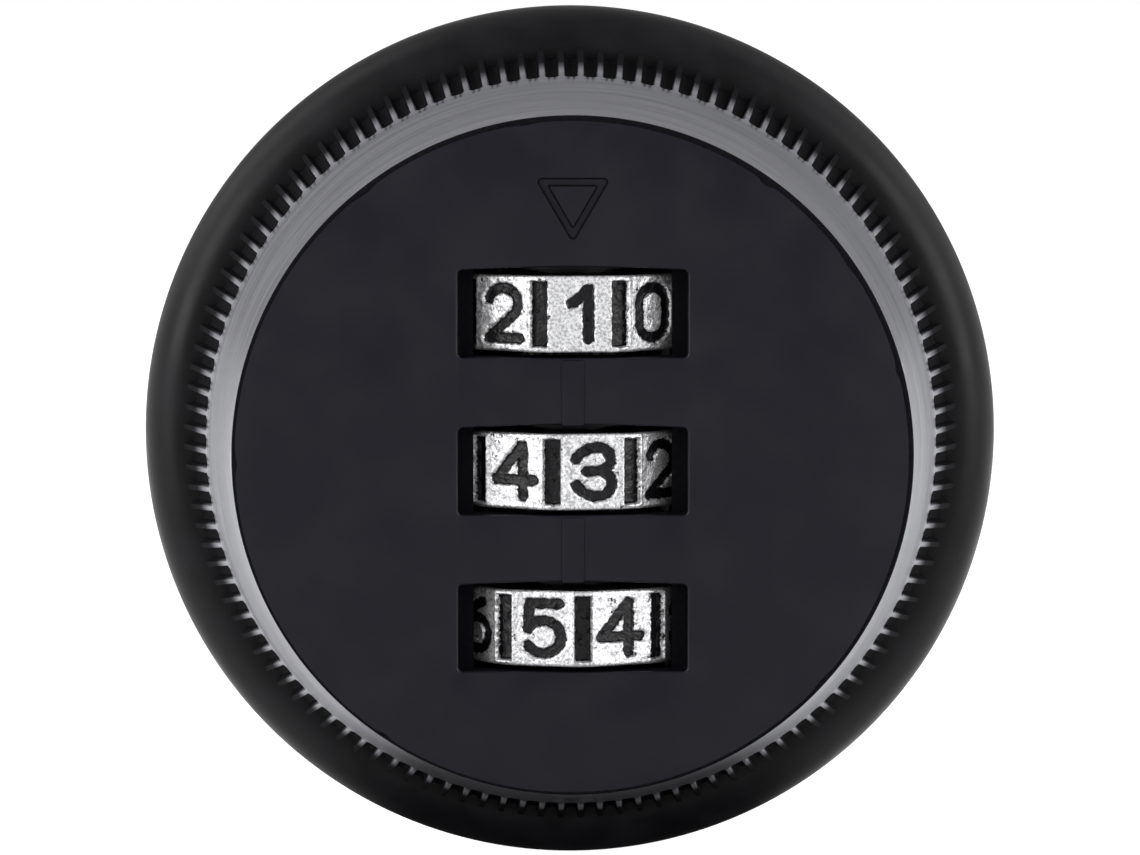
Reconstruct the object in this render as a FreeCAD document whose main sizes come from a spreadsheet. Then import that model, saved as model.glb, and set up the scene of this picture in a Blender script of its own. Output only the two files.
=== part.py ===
import FreeCAD, Part
import math
import os
from types import SimpleNamespace

import Sketcher

# Keyless combination cam lock: a round head with a knurled knob, three ten-digit
# dials behind windows, and a threaded barrel that carries a cam at its back.
#
# Frame: +Z is up, the lock's axis is Y, the face looks along -Y, and the back of the
# flange lies on the plane Y = 0. A height is measured from that plane towards the
# face, and a depth from it towards the back. Lengths are in millimetres.

SIZES = {
    # Dials
    "dial_radius": 5.95,
    "dial_width": 3.43,
    "dial_edge": 0.25,
    "dial_flat_depth": 0.18,
    "dial_pitch": 7.08,
    "dial_centre": -0.65,
    "dial_back_gap": 0.25,
    "dial_proud": 0.35,
    "digit_count": 10,
    "grip_width": 0.78,
    "grip_depth": 0.42,
    "grip_end": 0.24,
    "top_dial_angle": 3.0,
    "middle_dial_angle": 8.8,
    "bottom_dial_angle": 22.4,
    "detent_width": 0.685,
    "scallop_radius": 0.7,
    "scallop_inset": 0.3,
    # Spindle and clutch sleeves
    "spindle_radius": 1.5,
    "spindle_chamfer": 0.3,
    "spindle_gap": 0.1,
    "sleeve_wall": 0.8,
    "tube_gap": 0.1,
    "lug_ring_wall": 0.7,
    "lug_height": 0.65,
    "lug_width": 0.6,
    "lug_gap": 0.15,
    "lug_end_gap": 0.1,
    "socket_depth": 0.965,
    "gate_disc_gap": 0.15,
    "gate_disc_thickness": 0.8,
    "gate_width": 2.0,
    "gate_depth": 0.8,
    "sleeve_end_gap": 0.05,
    "reset_travel": 1.1,
    "spindle_end_gap": 0.2,
    "collar_radius": 2.3,
    "collar_thickness": 0.75,
    "plunger_radius": 1.0,
    "plunger_reach": 1.4,
    "plunger_gap": 0.15,
    "clutch_spring_room": 2.905,
    "clutch_coil_gap": 0.325,
    "clutch_wire": 0.45,
    "clutch_turns": 3.5,
    "spring_end_gap": 0.05,
    # Knob cover
    "skirt_wall": 1.2,
    "skirt_gap": 0.3,
    "cover_gap": 0.3,
    "face_wall": 1.6,
    "inner_gap": 0.15,
    "knurl_length": 3.3,
    "knurl_taper": 1.27,
    "band_taper": 1.51,
    "face_edge_chamfer": 0.12,
    "knurl_count": 120,
    "groove_width": 0.62,
    "groove_depth": 0.5,
    "window_width": 10.3,
    "window_height": 3.92,
    "arrow_width": 3.08,
    "arrow_height": 2.5,
    "arrow_top": 12.18,
    "arrow_line": 0.22,
    "arrow_depth": 0.18,
    "index_width": 1.0,
    "index_relief": 0.06,
    # Rotor and its cradle
    "rotor_gap": 0.2,
    "rotor_thickness": 1.4,
    "rotor_side_gap": 0.6,
    "stem_radius": 6.5,
    "stem_gap": 0.1,
    "stem_end_gap": 0.1,
    "square_side": 7.5,
    "square_gap": 0.05,
    "square_end_gap": 0.1,
    "thread_radius": 3.0,
    "thread_depth": 11.0,
    "cradle_half_width": 5.0,
    "arch_half_width": 3.4,
    "arch_thickness": 1.2,
    "arch_tunnel": 1.7,
    "arch_wall": 0.8,
    "rib_thickness": 0.7,
    "rib_gap": 0.1,
    # Screws that hold the cover on the rotor
    "screw_radius": 1.25,
    "screw_clearance": 0.1,
    "screw_head_radius": 2.1,
    "screw_head_height": 0.8,
    "screw_slot_width": 0.4,
    "screw_slot_depth": 0.4,
    "screw_bite": 5.8,
    "boss_radius": 2.5,
    "boss_gap": 1.55,
    # Detent leaf springs
    "leaf_thickness": 0.2,
    "leaf_width": 0.5,
    "leaf_tip": 1.2,
    "leaf_foot": 1.6,
    "leaf_bump_radius": 0.5,
    # Locking plate, its springs and its ramps
    "plate_lift": 0.7,
    "plate_gap": 0.15,
    "plate_thickness": 0.8,
    "plate_width": 3.0,
    "plate_side_gap": 0.25,
    "finger_width": 1.6,
    "finger_thickness": 0.7,
    "finger_gap": 0.2,
    "foot_width": 1.2,
    "foot_thickness": 0.8,
    "foot_gap": 0.05,
    "ramp_side_gap": 0.15,
    "ramp_lead": 5.0,
    "plate_coil_radius": 0.85,
    "plate_wire": 0.3,
    "plate_turns": 3.5,
    # Flange and barrel of the housing
    "flange_wall": 4.0,
    "flange_height": 4.3,
    "flange_front_round": 1.9,
    "flange_back_chamfer": 1.0,
    "floor_height": 1.6,
    "barrel_wall": 2.9,
    "barrel_flat_depth": 1.5,
    "barrel_length": 21.2,
    "barrel_chamfer": 0.6,
    "turn_angle": 90.0,
    # Washers, cam and nut at the back
    "thrust_width": 2.5,
    "thrust_thickness": 0.5,
    "thrust_seat_depth": 0.4,
    "thrust_side_gap": 0.2,
    "stop_seat_recess": 1.2,
    "stop_overlap": 0.4,
    "stop_side_gap": 0.2,
    "stop_tab_width": 3.0,
    "stop_angle_gap": 0.8,
    "cam_gap": 0.2,
    "cam_thickness": 2.0,
    "cam_head_radius": 8.5,
    "cam_reach": 21.5,
    "cam_width": 11.0,
    "cam_corner": 2.0,
    "cam_washer_radius": 6.5,
    "cam_washer_thickness": 0.8,
    "cam_washer_split": 0.4,
    "cam_screw_flats": 10.0,
    "cam_screw_head": 3.6,
    "cam_screw_length": 9.0,
    "cam_screw_gap": 0.05,
    "head_chamfer": 0.5,
    "panel_thickness": 10.0,
    "lock_washer_width": 3.1,
    "lock_washer_thickness": 0.9,
    "lock_washer_teeth": 16,
    "lock_washer_tooth_width": 1.3,
    "lock_washer_tooth_depth": 1.2,
    "nut_wall": 2.5,
    "nut_thickness": 4.0,
    "nut_chamfer": 0.8,
    "nut_gap": 0.05,
}

FACING = FreeCAD.Placement(FreeCAD.Vector(), FreeCAD.Rotation(FreeCAD.Vector(1, 0, 0), 90))
FULL_TURN = 360
QUARTER_TURN = 90
HEXAGON_SIDES = 6
OVERCUT = 1.0
GROOVE_CORNERS = (0, 45, 75, 105, 135, 180)
HALF_CIRCLE = "half circle"


class Size:
    """A number together with the expression on the sheet that gives it."""

    def __init__(self, value, text):
        self.value = float(value)
        self.text = text

    def __add__(self, other):
        other = as_size(other)
        return Size(self.value + other.value, f"({self.text} + {other.text})")

    def __sub__(self, other):
        other = as_size(other)
        return Size(self.value - other.value, f"({self.text} - {other.text})")

    def __mul__(self, other):
        other = as_size(other)
        return Size(self.value * other.value, f"({self.text} * {other.text})")

    def __truediv__(self, other):
        other = as_size(other)
        return Size(self.value / other.value, f"({self.text} / {other.text})")

    def __neg__(self):
        return Size(-self.value, f"(0 - {self.text})")

    def __rsub__(self, other):
        return as_size(other) - self

    def __rtruediv__(self, other):
        return as_size(other) / self

    __radd__ = __add__
    __rmul__ = __mul__


def as_size(number):
    """Return a plain number as a Size, and a Size as it is."""
    return number if isinstance(number, Size) else Size(number, repr(float(number)))


def sine(angle):
    """Return the sine of an angle in degrees."""
    angle = as_size(angle)
    return Size(math.sin(math.radians(angle.value)), f"sin({angle.text})")


def cosine(angle):
    """Return the cosine of an angle in degrees."""
    angle = as_size(angle)
    return Size(math.cos(math.radians(angle.value)), f"cos({angle.text})")


def tangent_angle(rise, run):
    """Return the angle in degrees whose tangent is rise over run."""
    value = math.degrees(math.atan2(rise.value, run.value))
    return Size(value, f"(atan({rise.text} / {run.text}) / 1deg)")


def turned(points, angle):
    """Return points turned about the origin by an angle in degrees."""
    return [(x * cosine(angle) - y * sine(angle), x * sine(angle) + y * cosine(angle)) for x, y in points]


def make_sheet(doc):
    """Write the driving sizes to a spreadsheet and return them as Size values."""
    sheet = doc.addObject("Spreadsheet::Sheet", "sizes")
    for row, (alias, value) in enumerate(SIZES.items(), start=1):
        sheet.set(f"A{row}", alias.replace("_", " "))
        sheet.set(f"B{row}", str(value))
        sheet.setAlias(f"B{row}", alias)
    doc.recompute()
    return SimpleNamespace(**{alias: Size(value, f"sizes.{alias}") for alias, value in SIZES.items()})


def derive(s):
    """Work out the sizes that follow from the driving ones, from the dials outwards."""
    s.tube_radius = s.spindle_radius + s.spindle_gap + s.sleeve_wall
    s.dial_bore_radius = s.tube_radius + s.tube_gap
    s.lug_ring_radius = s.tube_radius + s.lug_ring_wall
    s.lug_radius = s.lug_ring_radius + s.lug_height
    s.socket_radius = s.lug_ring_radius + s.lug_gap
    s.key_slot_radius = s.lug_radius + s.lug_gap
    s.key_slot_width = s.lug_width + s.lug_gap * 2
    s.gate_disc_radius = s.dial_radius - s.dial_proud - s.face_wall - s.inner_gap
    s.gate_radius = s.gate_disc_radius - s.gate_depth
    s.detent_radius = s.gate_disc_radius
    s.scallop_offset = s.detent_radius + s.scallop_radius - s.scallop_inset
    s.clutch_coil_radius = s.spindle_radius + s.clutch_wire / 2 + s.clutch_coil_gap
    # Along the spindle, from the lock's axis up to the flange's edge
    s.upper_arch_start = (s.dial_centre + s.dial_pitch + gate_disc_span(s)[1] + s.clutch_spring_room)
    s.spindle_top = s.upper_arch_start + s.arch_thickness
    s.cover_bore_radius = s.spindle_top + s.reset_travel + s.spindle_end_gap
    s.skirt_radius = s.cover_bore_radius + s.skirt_wall
    s.cavity_radius = s.skirt_radius + s.skirt_gap
    s.rotor_radius = s.cavity_radius - s.rotor_side_gap
    s.flange_radius = s.cavity_radius + s.flange_wall
    s.knurl_back_radius = s.flange_radius - s.flange_front_round
    s.knurl_front_radius = s.knurl_back_radius - s.knurl_taper
    s.face_radius = s.knurl_front_radius - s.band_taper
    s.plunger_end = s.cover_bore_radius + s.plunger_reach
    s.reset_hole_radius = s.plunger_radius + s.plunger_gap
    s.screw_spacing = (s.dial_radius + s.boss_radius + s.boss_gap) * 2
    # Heights, from the panel to the face
    s.rotor_back_height = s.floor_height + s.rotor_gap
    s.rotor_front_height = s.rotor_back_height + s.rotor_thickness
    s.dial_axis_height = s.rotor_front_height + s.dial_back_gap + s.dial_radius
    s.knob_height = s.dial_axis_height + s.dial_radius - s.dial_proud
    s.knurl_front_height = s.flange_height + s.cover_gap + s.knurl_length
    s.arch_roof = s.rotor_front_height + s.arch_tunnel
    s.leaf_top_height = s.dial_axis_height + s.leaf_tip
    s.screw_end_height = s.rotor_front_height + s.screw_bite
    s.ramp_width = s.foot_thickness + s.ramp_side_gap * 2
    # Depths, from the panel to the cam
    s.barrel_radius = s.stem_radius + s.stem_gap + s.barrel_wall
    s.barrel_flats = (s.barrel_radius - s.barrel_flat_depth) * 2
    s.stop_seat_depth = s.barrel_length - s.stop_seat_recess
    s.stem_length = s.stop_seat_depth + s.stem_end_gap
    s.stop_thickness = s.stop_seat_recess - s.stem_end_gap + s.cam_gap
    s.square_length = s.stop_thickness + s.cam_thickness - s.square_end_gap
    s.stop_radius = s.stem_radius + s.stop_overlap
    s.stop_seat_radius = s.stop_radius + s.stop_side_gap
    s.stop_tab_radius = s.barrel_radius - s.stop_side_gap
    half_tab = s.stop_tab_width / 2
    s.stop_margin = tangent_angle(half_tab, s.stop_seat_radius) + s.stop_angle_gap
    s.thrust_hole_radius = s.stem_radius + s.stop_overlap
    s.thrust_radius = s.thrust_hole_radius + s.thrust_width
    s.thrust_seat_radius = s.thrust_radius + s.thrust_side_gap
    s.lock_washer_radius = s.barrel_radius + s.lock_washer_width
    s.nut_flats = (s.barrel_radius + s.nut_wall) * 2
    return s


def bind(obj, name, size):
    """Tie a property to a Size."""
    size = as_size(size)
    obj.setExpression(name, size.text)


class Piece:
    """A PartDesign body with short ways to draw bound sketches and add features."""

    def __init__(self, doc, label, placement=None):
        self.doc = doc
        self.body = doc.addObject("PartDesign::Body", label)
        self.body.Label = label
        self.label = label
        if placement is not None:
            self.body.Placement = placement

    def plane(self, role):
        """Return one of the body's own origin planes or axes."""
        return next(item for item in self.body.Origin.OriginFeatures if item.Role == role)

    def sketch(self, name, role="XY_Plane", level=None):
        """Start a sketch on an origin plane, moved along its normal by level."""
        sketch = self.body.newObject("Sketcher::SketchObject", f"{self.label}_{name}")
        sketch.AttachmentSupport = (self.plane(role), [""])
        sketch.MapMode = "FlatFace"
        if level is not None:
            bind(sketch, "AttachmentOffset.Base.z", level)
        return sketch

    def feature(self, kind, sketch, name):
        """Add a feature that is made from a sketch."""
        feature = self.body.newObject(f"PartDesign::{kind}", f"{self.label}_{name}")
        feature.Profile = sketch
        return feature

    def pad(self, sketch, length, name, back=False):
        """Pad a sketch along its normal, or against it."""
        feature = self.feature("Pad", sketch, name)
        bind(feature, "Length", length)
        feature.Reversed = back
        return feature

    def pocket(self, sketch, length, name, forward=False):
        """Cut a sketch against its normal, or along it."""
        feature = self.feature("Pocket", sketch, name)
        bind(feature, "Length", length)
        feature.Reversed = forward
        return feature

    def turn(self, sketch, name, cut=False):
        """Revolve a profile of radius and height about the body's Z axis."""
        feature = self.feature("Groove" if cut else "Revolution", sketch, name)
        feature.ReferenceAxis = (sketch, ["V_Axis"])
        feature.Angle = FULL_TURN
        return feature

    def around(self, feature, count, name):
        """Repeat a feature evenly about the body's Z axis."""
        pattern = self.body.newObject("PartDesign::PolarPattern", f"{self.label}_{name}")
        pattern.Originals = [feature]
        pattern.Axis = (self.plane("Z_Axis"), [""])
        pattern.Angle = FULL_TURN
        bind(pattern, "Occurrences", count)
        self.body.Tip = pattern
        return pattern

    def coil(self, sketch, height, turns, name):
        """Wind a profile about the body's Z axis."""
        feature = self.feature("AdditiveHelix", sketch, name)
        feature.ReferenceAxis = (sketch, ["V_Axis"])
        feature.Mode = "height-turns-angle"
        bind(feature, "Height", height)
        bind(feature, "Turns", turns)
        return feature


def tie(sketch, kind, *where, size):
    """Add a constraint and tie its value to a Size."""
    size = as_size(size)
    index = sketch.addConstraint(Sketcher.Constraint(kind, *where, size.value))
    sketch.setExpression(f"Constraints[{index}]", size.text)


def outline(sketch, points, arcs=None):
    """Draw a closed outline through points, each tied to its place.

    arcs gives, for the edge that starts at a point's index, its radius. A positive
    radius bulges to the right of the way, so outwards when the points run counter-clockwise.
    HALF_CIRCLE in its place makes a level or upright edge a half circle to the right.
    """
    arcs = arcs or {}
    points = [(as_size(x), as_size(y)) for x, y in points]
    count = len(points)
    ends = []
    for index, (x, y) in enumerate(points):
        start = FreeCAD.Vector(x.value, y.value, 0)
        next_x, next_y = points[(index + 1) % count]
        end = FreeCAD.Vector(next_x.value, next_y.value, 0)
        if index in arcs:
            half = (end - start) * 0.5
            right = FreeCAD.Vector(half.y, -half.x, 0).normalize()
            if arcs[index] == HALF_CIRCLE:
                rise = half.Length
            else:
                radius = as_size(arcs[index]).value
                rise = abs(radius) - math.sqrt(radius**2 - half.Length**2)
                rise = math.copysign(rise, radius)
            middle = start + half + right * rise
            edge = sketch.addGeometry(Part.Arc(start, middle, end), False)
            first = sketch.Geometry[edge].StartPoint.distanceToPoint(start) < 1e-6
            ends.append((edge, 1, 2) if first else (edge, 2, 1))
        else:
            edge = sketch.addGeometry(Part.LineSegment(start, end), False)
            ends.append((edge, 1, 2))
    for index, (edge, _, end_point) in enumerate(ends):
        after, start_point, _ = ends[(index + 1) % count]
        sketch.addConstraint(Sketcher.Constraint("Coincident", edge, end_point, after, start_point))
    for index, (x, y) in enumerate(points):
        edge, start_point, _ = ends[index]
        tie(sketch, "DistanceX", -1, 1, edge, start_point, size=x)
        tie(sketch, "DistanceY", -1, 1, edge, start_point, size=y)
        if arcs.get(index) == HALF_CIRCLE:
            level = abs(points[(index + 1) % count][1].value - y.value) < 1e-9
            kind, place = ("DistanceY", y) if level else ("DistanceX", x)
            tie(sketch, kind, -1, 1, edge, 3, size=place)
        elif index in arcs:
            radius = as_size(arcs[index])
            tie(sketch, "Radius", edge, size=radius if radius.value > 0 else -radius)


def box(sketch, left, right, low, high):
    """Draw a rectangle."""
    outline(sketch, [(left, low), (right, low), (right, high), (left, high)])


def circle(sketch, radius, x=0, y=0):
    """Draw a circle about a point."""
    x, y, radius = as_size(x), as_size(y), as_size(radius)
    centre = FreeCAD.Vector(x.value, y.value, 0)
    edge = sketch.addGeometry(Part.Circle(centre, FreeCAD.Vector(0, 0, 1), radius.value), False)
    tie(sketch, "DistanceX", -1, 1, edge, 3, size=x)
    tie(sketch, "DistanceY", -1, 1, edge, 3, size=y)
    tie(sketch, "Radius", edge, size=radius)


def polygon(sketch, radius, sides, start=0.0):
    """Draw a regular polygon with its corners on a circle."""
    angles = [start + FULL_TURN * index / sides for index in range(sides)]
    outline(sketch, [(radius * cosine(angle), radius * sine(angle)) for angle in angles])


def dial_places(s):
    """Return each dial's name, its centre along Z and the angle of its first digit."""
    return [
        ("top", s.dial_centre + s.dial_pitch, s.top_dial_angle),
        ("middle", s.dial_centre, s.middle_dial_angle),
        ("bottom", s.dial_centre - s.dial_pitch, s.bottom_dial_angle),
    ]


def gate_disc_span(s):
    """Return the low and high side of a gate disc, from its dial's centre."""
    low = s.dial_width / 2 + s.gate_disc_gap
    return low, low + s.gate_disc_thickness


def sleeve_bottom(s):
    """Return the height of a sleeve's lower end from its dial's centre."""
    return gate_disc_span(s)[1] - s.dial_pitch + s.sleeve_end_gap


def lower_arch_top(s):
    """Return where the lower arch's top face lies, just under the bottom dial."""
    return s.dial_centre - s.dial_pitch - s.dial_width / 2 - s.detent_width - s.rib_gap


def foot_places(s):
    """Return the distances of the plate's upper and lower foot from the lock's axis."""
    upper = s.upper_arch_start + s.arch_thickness / 2
    lower = s.arch_thickness / 2 - lower_arch_top(s)
    return upper, lower


def plate_bottom(s):
    """Return the resting height of the locking plate's back face."""
    return s.floor_height + s.plate_gap


def make_housing(doc, s):
    """Flange, cavity and barrel in one casting, with the ramps and the stop's notch."""
    piece = Piece(doc, "housing", FACING)
    profile = piece.sketch("profile", "XZ_Plane")
    bore = s.stem_radius + s.stem_gap
    outline(
        profile,
        [
            (bore, -s.stop_seat_depth),
            (s.stop_seat_radius, -s.stop_seat_depth),
            (s.stop_seat_radius, -s.barrel_length),
            (s.barrel_radius - s.barrel_chamfer, -s.barrel_length),
            (s.barrel_radius, s.barrel_chamfer - s.barrel_length),
            (s.barrel_radius, 0),
            (s.flange_radius - s.flange_back_chamfer, 0),
            (s.flange_radius, s.flange_back_chamfer),
            (s.flange_radius, s.flange_height - s.flange_front_round),
            (s.flange_radius - s.flange_front_round, s.flange_height),
            (s.cavity_radius, s.flange_height),
            (s.cavity_radius, s.floor_height),
            (s.thrust_seat_radius, s.floor_height),
            (s.thrust_seat_radius, s.floor_height - s.thrust_seat_depth),
            (bore, s.floor_height - s.thrust_seat_depth),
        ],
        arcs={8: s.flange_front_round},
    )
    piece.turn(profile, "casting")
    flats = piece.sketch("flats", level=-s.barrel_length)
    half = s.barrel_flats / 2
    box(flats, half, s.barrel_radius + OVERCUT, -s.barrel_radius, s.barrel_radius)
    box(flats, -s.barrel_radius - OVERCUT, -half, -s.barrel_radius, s.barrel_radius)
    piece.pocket(flats, s.barrel_length, "flats_cut", forward=True)
    notch = piece.sketch("notch", level=-s.barrel_length)
    reach = s.barrel_radius + s.barrel_radius
    side = s.turn_angle / 2 + s.stop_margin
    outline(notch, [(0, 0), (reach * sine(side), reach * cosine(side)), (0, reach),
                    (-(reach * sine(side)), reach * cosine(side))])
    piece.pocket(notch, s.barrel_length - s.stop_seat_depth, "notch_cut", forward=True)
    upper, lower = foot_places(s)
    for name, distance, start in (("upper", upper, 90), ("lower", lower, -90)):
        ramp_pocket(piece, s, name, distance, start)
    return piece


def ramp_pocket(piece, s, name, distance, start):
    """Cut one ramp: a flat rest for the foot, then a rise over the knob's turn."""
    low = s.floor_height - s.plate_lift
    inner = distance - s.ramp_width / 2
    outer = distance + s.ramp_width / 2
    rest = piece.sketch(f"{name}_rest", level=low)
    early = start + s.ramp_lead
    outline(
        rest,
        [
            (inner * cosine(start), inner * sine(start)),
            (outer * cosine(start), outer * sine(start)),
            (outer * cosine(early), outer * sine(early)),
            (inner * cosine(early), inner * sine(early)),
        ],
        arcs={1: outer, 3: -inner},
    )
    piece.pocket(rest, s.plate_lift + s.floor_height, f"{name}_rest_cut", forward=True)
    section = piece.sketch(f"{name}_ramp", "YZ_Plane")
    side = 1 if start > 0 else -1
    near, far = (inner, outer) if side > 0 else (-outer, -inner)
    box(section, near, far, low, s.floor_height + s.floor_height)
    ramp = piece.feature("SubtractiveHelix", section, f"{name}_ramp_cut")
    ramp.ReferenceAxis = (section, ["V_Axis"])
    ramp.Mode = "height-turns-angle"
    bind(ramp, "Height", s.plate_lift)
    bind(ramp, "Turns", s.turn_angle / FULL_TURN)
    ramp.LeftHanded = True


def make_knob_cover(doc, s):
    """Knurled shell with the face, the windows and the arrow."""
    piece = Piece(doc, "knob_cover", FACING)
    back = s.flange_height + s.cover_gap
    profile = piece.sketch("profile", "XZ_Plane")
    outline(
        profile,
        [
            (s.cover_bore_radius, s.rotor_front_height),
            (s.skirt_radius, s.rotor_front_height),
            (s.skirt_radius, back),
            (s.knurl_back_radius, back),
            (s.knurl_front_radius, s.knurl_front_height),
            (s.face_radius, s.knob_height - s.face_edge_chamfer),
            (s.face_radius - s.face_edge_chamfer, s.knob_height),
            (0, s.knob_height),
            (0, s.knob_height - s.face_wall),
            (s.cover_bore_radius, s.knob_height - s.face_wall),
        ],
    )
    piece.turn(profile, "shell")
    bosses = piece.sketch("bosses", level=s.rotor_front_height)
    for side in (-1, 1):
        circle(bosses, s.boss_radius, x=s.screw_spacing / 2 * side)
        circle(bosses, s.screw_radius + s.screw_clearance, x=s.screw_spacing / 2 * side)
    piece.pad(bosses, s.knob_height - s.face_wall - s.rotor_front_height, "boss_pads")
    windows = piece.sketch("windows", level=s.knob_height)
    for _, centre, _ in dial_places(s):
        box(windows, -s.window_width / 2, s.window_width / 2,
            centre - s.window_height / 2, centre + s.window_height / 2)
    piece.pocket(windows, s.face_wall + OVERCUT, "window_cuts")
    arrow = piece.sketch("arrow", level=s.knob_height)
    half = s.arrow_width / 2
    corner = s.arrow_line * 2
    outline(arrow, [(-half, s.arrow_top), (0, s.arrow_top - s.arrow_height), (half, s.arrow_top)])
    outline(arrow, [(-half + corner, s.arrow_top - s.arrow_line),
                    (0, s.arrow_top - s.arrow_height + corner),
                    (half - corner, s.arrow_top - s.arrow_line)])
    piece.pocket(arrow, s.arrow_depth, "arrow_cut")
    index = piece.sketch("index", level=s.knob_height)
    for _, centre, _ in dial_places(s)[1:]:
        box(index, -s.index_width / 2, s.index_width / 2,
            centre + s.window_height / 2, centre + s.dial_pitch - s.window_height / 2)
    piece.pad(index, s.index_relief, "index_pad")
    reset = piece.sketch("reset", "XZ_Plane", level=s.cover_bore_radius - s.reset_hole_radius)
    circle(reset, s.reset_hole_radius, y=s.dial_axis_height)
    piece.pocket(reset, s.flange_radius - s.cover_bore_radius, "reset_hole", forward=True)
    knurl_groove(piece, s, back)
    return piece


def knurl_groove(piece, s, back):
    """Cut one U-shaped groove along the knurled slope and repeat it all round."""
    rise = s.knurl_front_height - back
    slope = tangent_angle(s.knurl_back_radius - s.knurl_front_radius, rise)
    groove = piece.sketch("groove", "YZ_Plane")
    bind(groove, "AttachmentOffset.Base.y", s.knurl_front_height)
    bind(groove, "AttachmentOffset.Base.z", s.knurl_front_radius)
    groove.AttachmentOffset = FreeCAD.Placement(
        groove.AttachmentOffset.Base, FreeCAD.Rotation(FreeCAD.Vector(1, 0, 0), -slope.value))
    bind(groove, "AttachmentOffset.Rotation.Angle", -slope)
    half = s.groove_width / 2
    rounded_end = [(half * cosine(angle), half * sine(angle) - half) for angle in GROOVE_CORNERS]
    outline(groove, [(-half, -(rise + rise)), (half, -(rise + rise))] + rounded_end)
    cut = piece.pocket(groove, s.groove_depth * 2, "groove_cut")
    cut.SideType = "Symmetric"
    cut.Refine = False
    pattern = piece.around(cut, s.knurl_count, "knurl")
    pattern.Refine = False


def make_rotor(doc, s):
    """Inner carrier: disc, stem, square drive and the cradle of the dials."""
    piece = Piece(doc, "rotor", FACING)
    profile = piece.sketch("profile", "XZ_Plane")
    outline(profile, [
        (0, -s.stem_length), (s.stem_radius, -s.stem_length), (s.stem_radius, s.rotor_back_height),
        (s.rotor_radius, s.rotor_back_height), (s.rotor_radius, s.rotor_front_height),
        (0, s.rotor_front_height),
    ])
    piece.turn(profile, "disc_and_stem")
    square = piece.sketch("square", level=-s.stem_length)
    half = s.square_side / 2
    box(square, -half, half, -half, half)
    piece.pad(square, s.square_length, "square_drive", back=True)
    cradle_blocks(piece, s)
    slot = piece.sketch("plate_slot", level=plate_bottom(s) - s.plate_side_gap / 2)
    side = s.plate_width / 2 + s.plate_side_gap
    upper, lower = foot_places(s)
    end = s.plate_coil_radius + s.plate_wire
    box(slot, -side, side, -lower - end, upper + end)
    top = s.rotor_front_height + s.plate_gap * 2
    piece.pocket(slot, top - plate_bottom(s) + s.plate_side_gap / 2, "plate_slot_cut", forward=True)
    for name, centre in (("upper", upper), ("lower", -lower)):
        tunnel = piece.sketch(f"{name}_tunnel", level=s.rotor_front_height)
        box(tunnel, -side, side, centre - end, centre + end)
        piece.pocket(tunnel, s.arch_roof - s.rotor_front_height, f"{name}_tunnel_cut", forward=True)
    bores(piece, s)
    heads = piece.sketch("heads", level=s.rotor_back_height)
    shanks = piece.sketch("shanks", level=s.rotor_back_height)
    for side in (-1, 1):
        circle(heads, s.screw_head_radius + s.screw_clearance, x=s.screw_spacing / 2 * side)
        circle(shanks, s.screw_radius + s.screw_clearance, x=s.screw_spacing / 2 * side)
    piece.pocket(heads, s.screw_head_height + s.screw_clearance, "head_seats", forward=True)
    piece.pocket(shanks, s.rotor_front_height, "shank_holes", forward=True)
    thread = piece.sketch("thread", level=-(s.stem_length + s.square_length))
    circle(thread, s.thread_radius)
    piece.pocket(thread, s.thread_depth, "thread_hole", forward=True)
    return piece


def cradle_blocks(piece, s):
    """Stand the two end arches and the ribs between the dials on the disc."""
    arch_height = s.dial_axis_height + s.dial_bore_radius + s.arch_wall - s.rotor_front_height
    arches = piece.sketch("arches", level=s.rotor_front_height)
    upper, lower = s.upper_arch_start, lower_arch_top(s)
    half = s.arch_half_width
    box(arches, -half, half, upper, upper + s.arch_thickness)
    box(arches, -half, half, lower - s.arch_thickness, lower)
    piece.pad(arches, arch_height, "arch_pads")
    ribs = piece.sketch("ribs", level=s.rotor_front_height)
    half = s.cradle_half_width
    for _, centre, _ in dial_places(s)[:2]:
        top = centre - s.dial_width / 2 - s.detent_width - s.rib_gap
        box(ribs, -half, half, top - s.rib_thickness, top)
    piece.pad(ribs, s.dial_axis_height - s.rotor_front_height, "rib_pads")


def bores(piece, s):
    """Cut the bearing holes of the arches and the open saddles of the ribs."""
    axis = s.dial_axis_height
    spindle = piece.sketch("spindle_bore", "XZ_Plane", level=-s.upper_arch_start)
    circle(spindle, s.spindle_radius + s.spindle_gap, y=axis)
    piece.pocket(spindle, s.arch_thickness, "spindle_bore_cut")
    tube = piece.sketch("tube_bore", "XZ_Plane", level=-lower_arch_top(s))
    circle(tube, s.dial_bore_radius, y=axis)
    piece.pocket(tube, s.arch_thickness, "tube_bore_cut", forward=True)
    saddle = piece.sketch("saddles", "XZ_Plane", level=-s.dial_centre - s.dial_pitch)
    half = s.dial_bore_radius
    outline(saddle, [(-half, axis), (half, axis), (half, axis + half), (-half, axis + half)],
            arcs={0: HALF_CIRCLE})
    piece.pocket(saddle, s.dial_pitch * 2, "saddle_cuts", forward=True)


def make_cover_screws(doc, s):
    """Two pan-head screws, driven from the rotor's back into the cover's bosses."""
    piece = Piece(doc, "cover_screws", FACING)
    head_top = s.rotor_back_height + s.screw_head_height
    heads = piece.sketch("heads", level=head_top)
    shanks = piece.sketch("shanks", level=head_top)
    slots = piece.sketch("slots", level=s.rotor_back_height)
    slot = s.screw_slot_width / 2
    for side in (-1, 1):
        place = s.screw_spacing / 2 * side
        circle(heads, s.screw_head_radius, x=place)
        circle(shanks, s.screw_radius, x=place)
        box(slots, place - s.screw_radius, place + s.screw_radius, -slot, slot)
    piece.pad(heads, s.screw_head_height, "head_pads", back=True)
    piece.pad(shanks, s.screw_end_height - head_top, "shank_pads")
    piece.pocket(slots, s.screw_slot_depth, "slot_cuts", forward=True)
    return piece


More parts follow.
